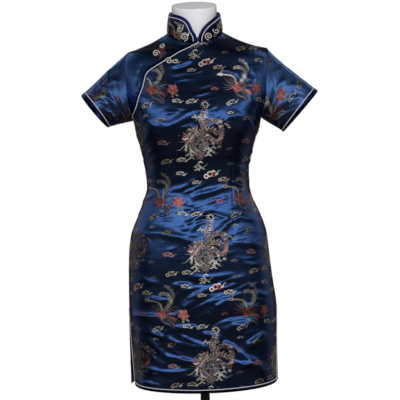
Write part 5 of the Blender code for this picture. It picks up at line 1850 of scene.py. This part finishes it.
def make_world():
    """A studio of soft light: a wide band of panels above eye level all round, dim elsewhere."""
    world = bpy.data.worlds.new("studio")
    bpy.context.scene.world = world
    bpy.context.scene.view_settings.view_transform = "Standard"
    world.use_nodes = True
    world.node_tree.nodes.clear()
    made = Nodes(world.node_tree)
    towards = made.add("SeparateXYZ", {"Vector": made.add("TexCoord").outputs["Generated"]})

    def along(axis, stops):
        inputs = {"Value": towards.outputs[axis], "From Min": -1, "From Max": 1}
        share = made.add("MapRange", inputs).outputs["Result"]
        return made.ramp(share, *[((at + 1) / 2, value) for at, value in stops])

    def sky(stops):
        return along("Z", [(math.sin(math.radians(elevation)), [strength + tint for tint in SKY_TINT])
                           for elevation, strength in stops])

    def light(colour, strength):
        return made.add("Background", {"Color": colour, "Strength": strength}).outputs[0]

    def switch(rays, other, chosen):
        share = made.add("LightPath").outputs[rays]
        return made.add("MixShader", {0: share, 1: other, 2: chosen}).outputs[0]

    sides = made.mix(1.0, along("Y", SIDES_BY_Y), along("X", SIDES_BY_X), "MULTIPLY")
    gloss = light(made.mix(sides, sky(FRONT_SKY), sky(SIDE_SKY)), along("Y", PANELS_BY_Y))
    lit = switch("Is Diffuse Ray", gloss, light((1, 1, 1, 1), SOFT_LIGHT))
    shown = switch("Is Camera Ray", lit, light((1, 1, 1, 1), 1.0))
    made.add("OutputWorld", {"Surface": shown})


def make_key():
    """A soft lamp high in front, which glossy surfaces don't mirror."""
    light = bpy.data.lights.new("key", "AREA")
    light.size = 1.5
    light.energy = 60
    place, aim = Vector((0.2, -2.6, 2.5)), Vector((0, 0, 0.85))
    made = add_object("key", light)
    made.location = place
    made.rotation_euler = (aim - place).to_track_quat("-Z", "Y").to_euler()
    made.visible_glossy = False
    made.visible_camera = False


# The camera: place and aim in metres, focal length in millimetres, and roll.
CAMERA_PLACE, CAMERA_AIM = Vector((0.001, -3.0, 0.968)), Vector((0.001, 0, 0.850))
CAMERA_LENS, CAMERA_ROLL = 114.9, math.radians(-1.64)


def make_camera():
    """Stands level with the chest, and is rolled a little."""
    camera = add_object("camera", bpy.data.cameras.new("camera"))
    bpy.context.scene.camera = camera
    camera.data.sensor_width = 36
    camera.data.lens = CAMERA_LENS
    look = (CAMERA_AIM - CAMERA_PLACE).to_track_quat("-Z", "Y").to_matrix().to_4x4()
    camera.matrix_world = (
        Matrix.Translation(CAMERA_PLACE) @ look @ Matrix.Rotation(CAMERA_ROLL, 4, "Z")
    )


# The floor's radius, and how far it lies under the stand, in metres.
FLOOR_RADIUS, FLOOR_DROP = 1.4, 0.001


def make_floor(look):
    """A round floor, which glossy surfaces don't mirror."""
    mesh = bpy.data.meshes.new("floor")
    shape = bmesh.new()
    bmesh.ops.create_circle(shape, cap_ends=True, segments=96, radius=FLOOR_RADIUS)
    shape.to_mesh(mesh)
    shape.free()
    mesh.materials.append(look)
    made = add_object("floor", mesh)
    made.location.z = -FLOOR_DROP
    made.visible_glossy = False


# ---------------------------------------------------------------- the whole

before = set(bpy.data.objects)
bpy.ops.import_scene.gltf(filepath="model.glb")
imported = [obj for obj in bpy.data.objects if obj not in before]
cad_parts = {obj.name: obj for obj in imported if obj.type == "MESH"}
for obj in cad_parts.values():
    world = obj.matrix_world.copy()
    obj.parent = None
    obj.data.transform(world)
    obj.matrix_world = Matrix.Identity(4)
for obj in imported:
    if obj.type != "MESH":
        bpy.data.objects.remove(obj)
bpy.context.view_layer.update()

brocade = satin("brocade_satin", (0.068, 0.164, 0.46), (0.042, 0.110, 0.33), 0.21, 520)
# A brighter copy of the brocade satin for the sleeves: painted light.
sleeve_satin_painted_light = satin("sleeve_satin_painted_light", (0.110, 0.250, 0.64), (0.066, 0.165, 0.47), 0.27, 520)
# A darker copy of the brocade satin for the collar: painted shade.
collar_satin_painted_shade = satin("collar_satin_painted_shade", (0.020, 0.042, 0.118), (0.012, 0.028, 0.085), 0.24, 520)
bias = satin("bias_satin_look", (0.018, 0.030, 0.22), (0.012, 0.020, 0.15), 0.22, 480)
threads = thread("brocading_thread")
silver = cord_look("pale_piping", (0.85, 0.85, 0.82), (0.55, 0.55, 0.53))
frog_satin = cord_look("frog_satin", (0.030, 0.040, 0.26), (0.010, 0.014, 0.11), 0.4, 0.35)
frog_pale = cord_look("frog_pale", (0.90, 0.84, 0.64), (0.55, 0.44, 0.22))

(front, front_motifs), (back, back_motifs), (flap, flap_motifs) = make_panels(brocade, threads)
opening_band, opening_cord = make_opening(bias, silver)
front_band, front_cord = make_hem("front", 0, bias, silver)
back_band, back_cord = make_hem("back", 180, bias, silver)
collar, collar_band, collar_cord, collar_motifs = make_collar(collar_satin_painted_shade, bias, silver, threads)
sleeves = [
    make_sleeve(name, cuff, sleeve_satin_painted_light, bias, silver, threads) for name, cuff in CUFFS.items()
]
make_frogs([frog_satin, frog_pale])
make_form(plastic("form_plastic", (0.80, 0.81, 0.83), 0.32))
make_stand(coated_steel("stand_coat"))

make_world()
make_key()
make_camera()
make_floor(floor_look())
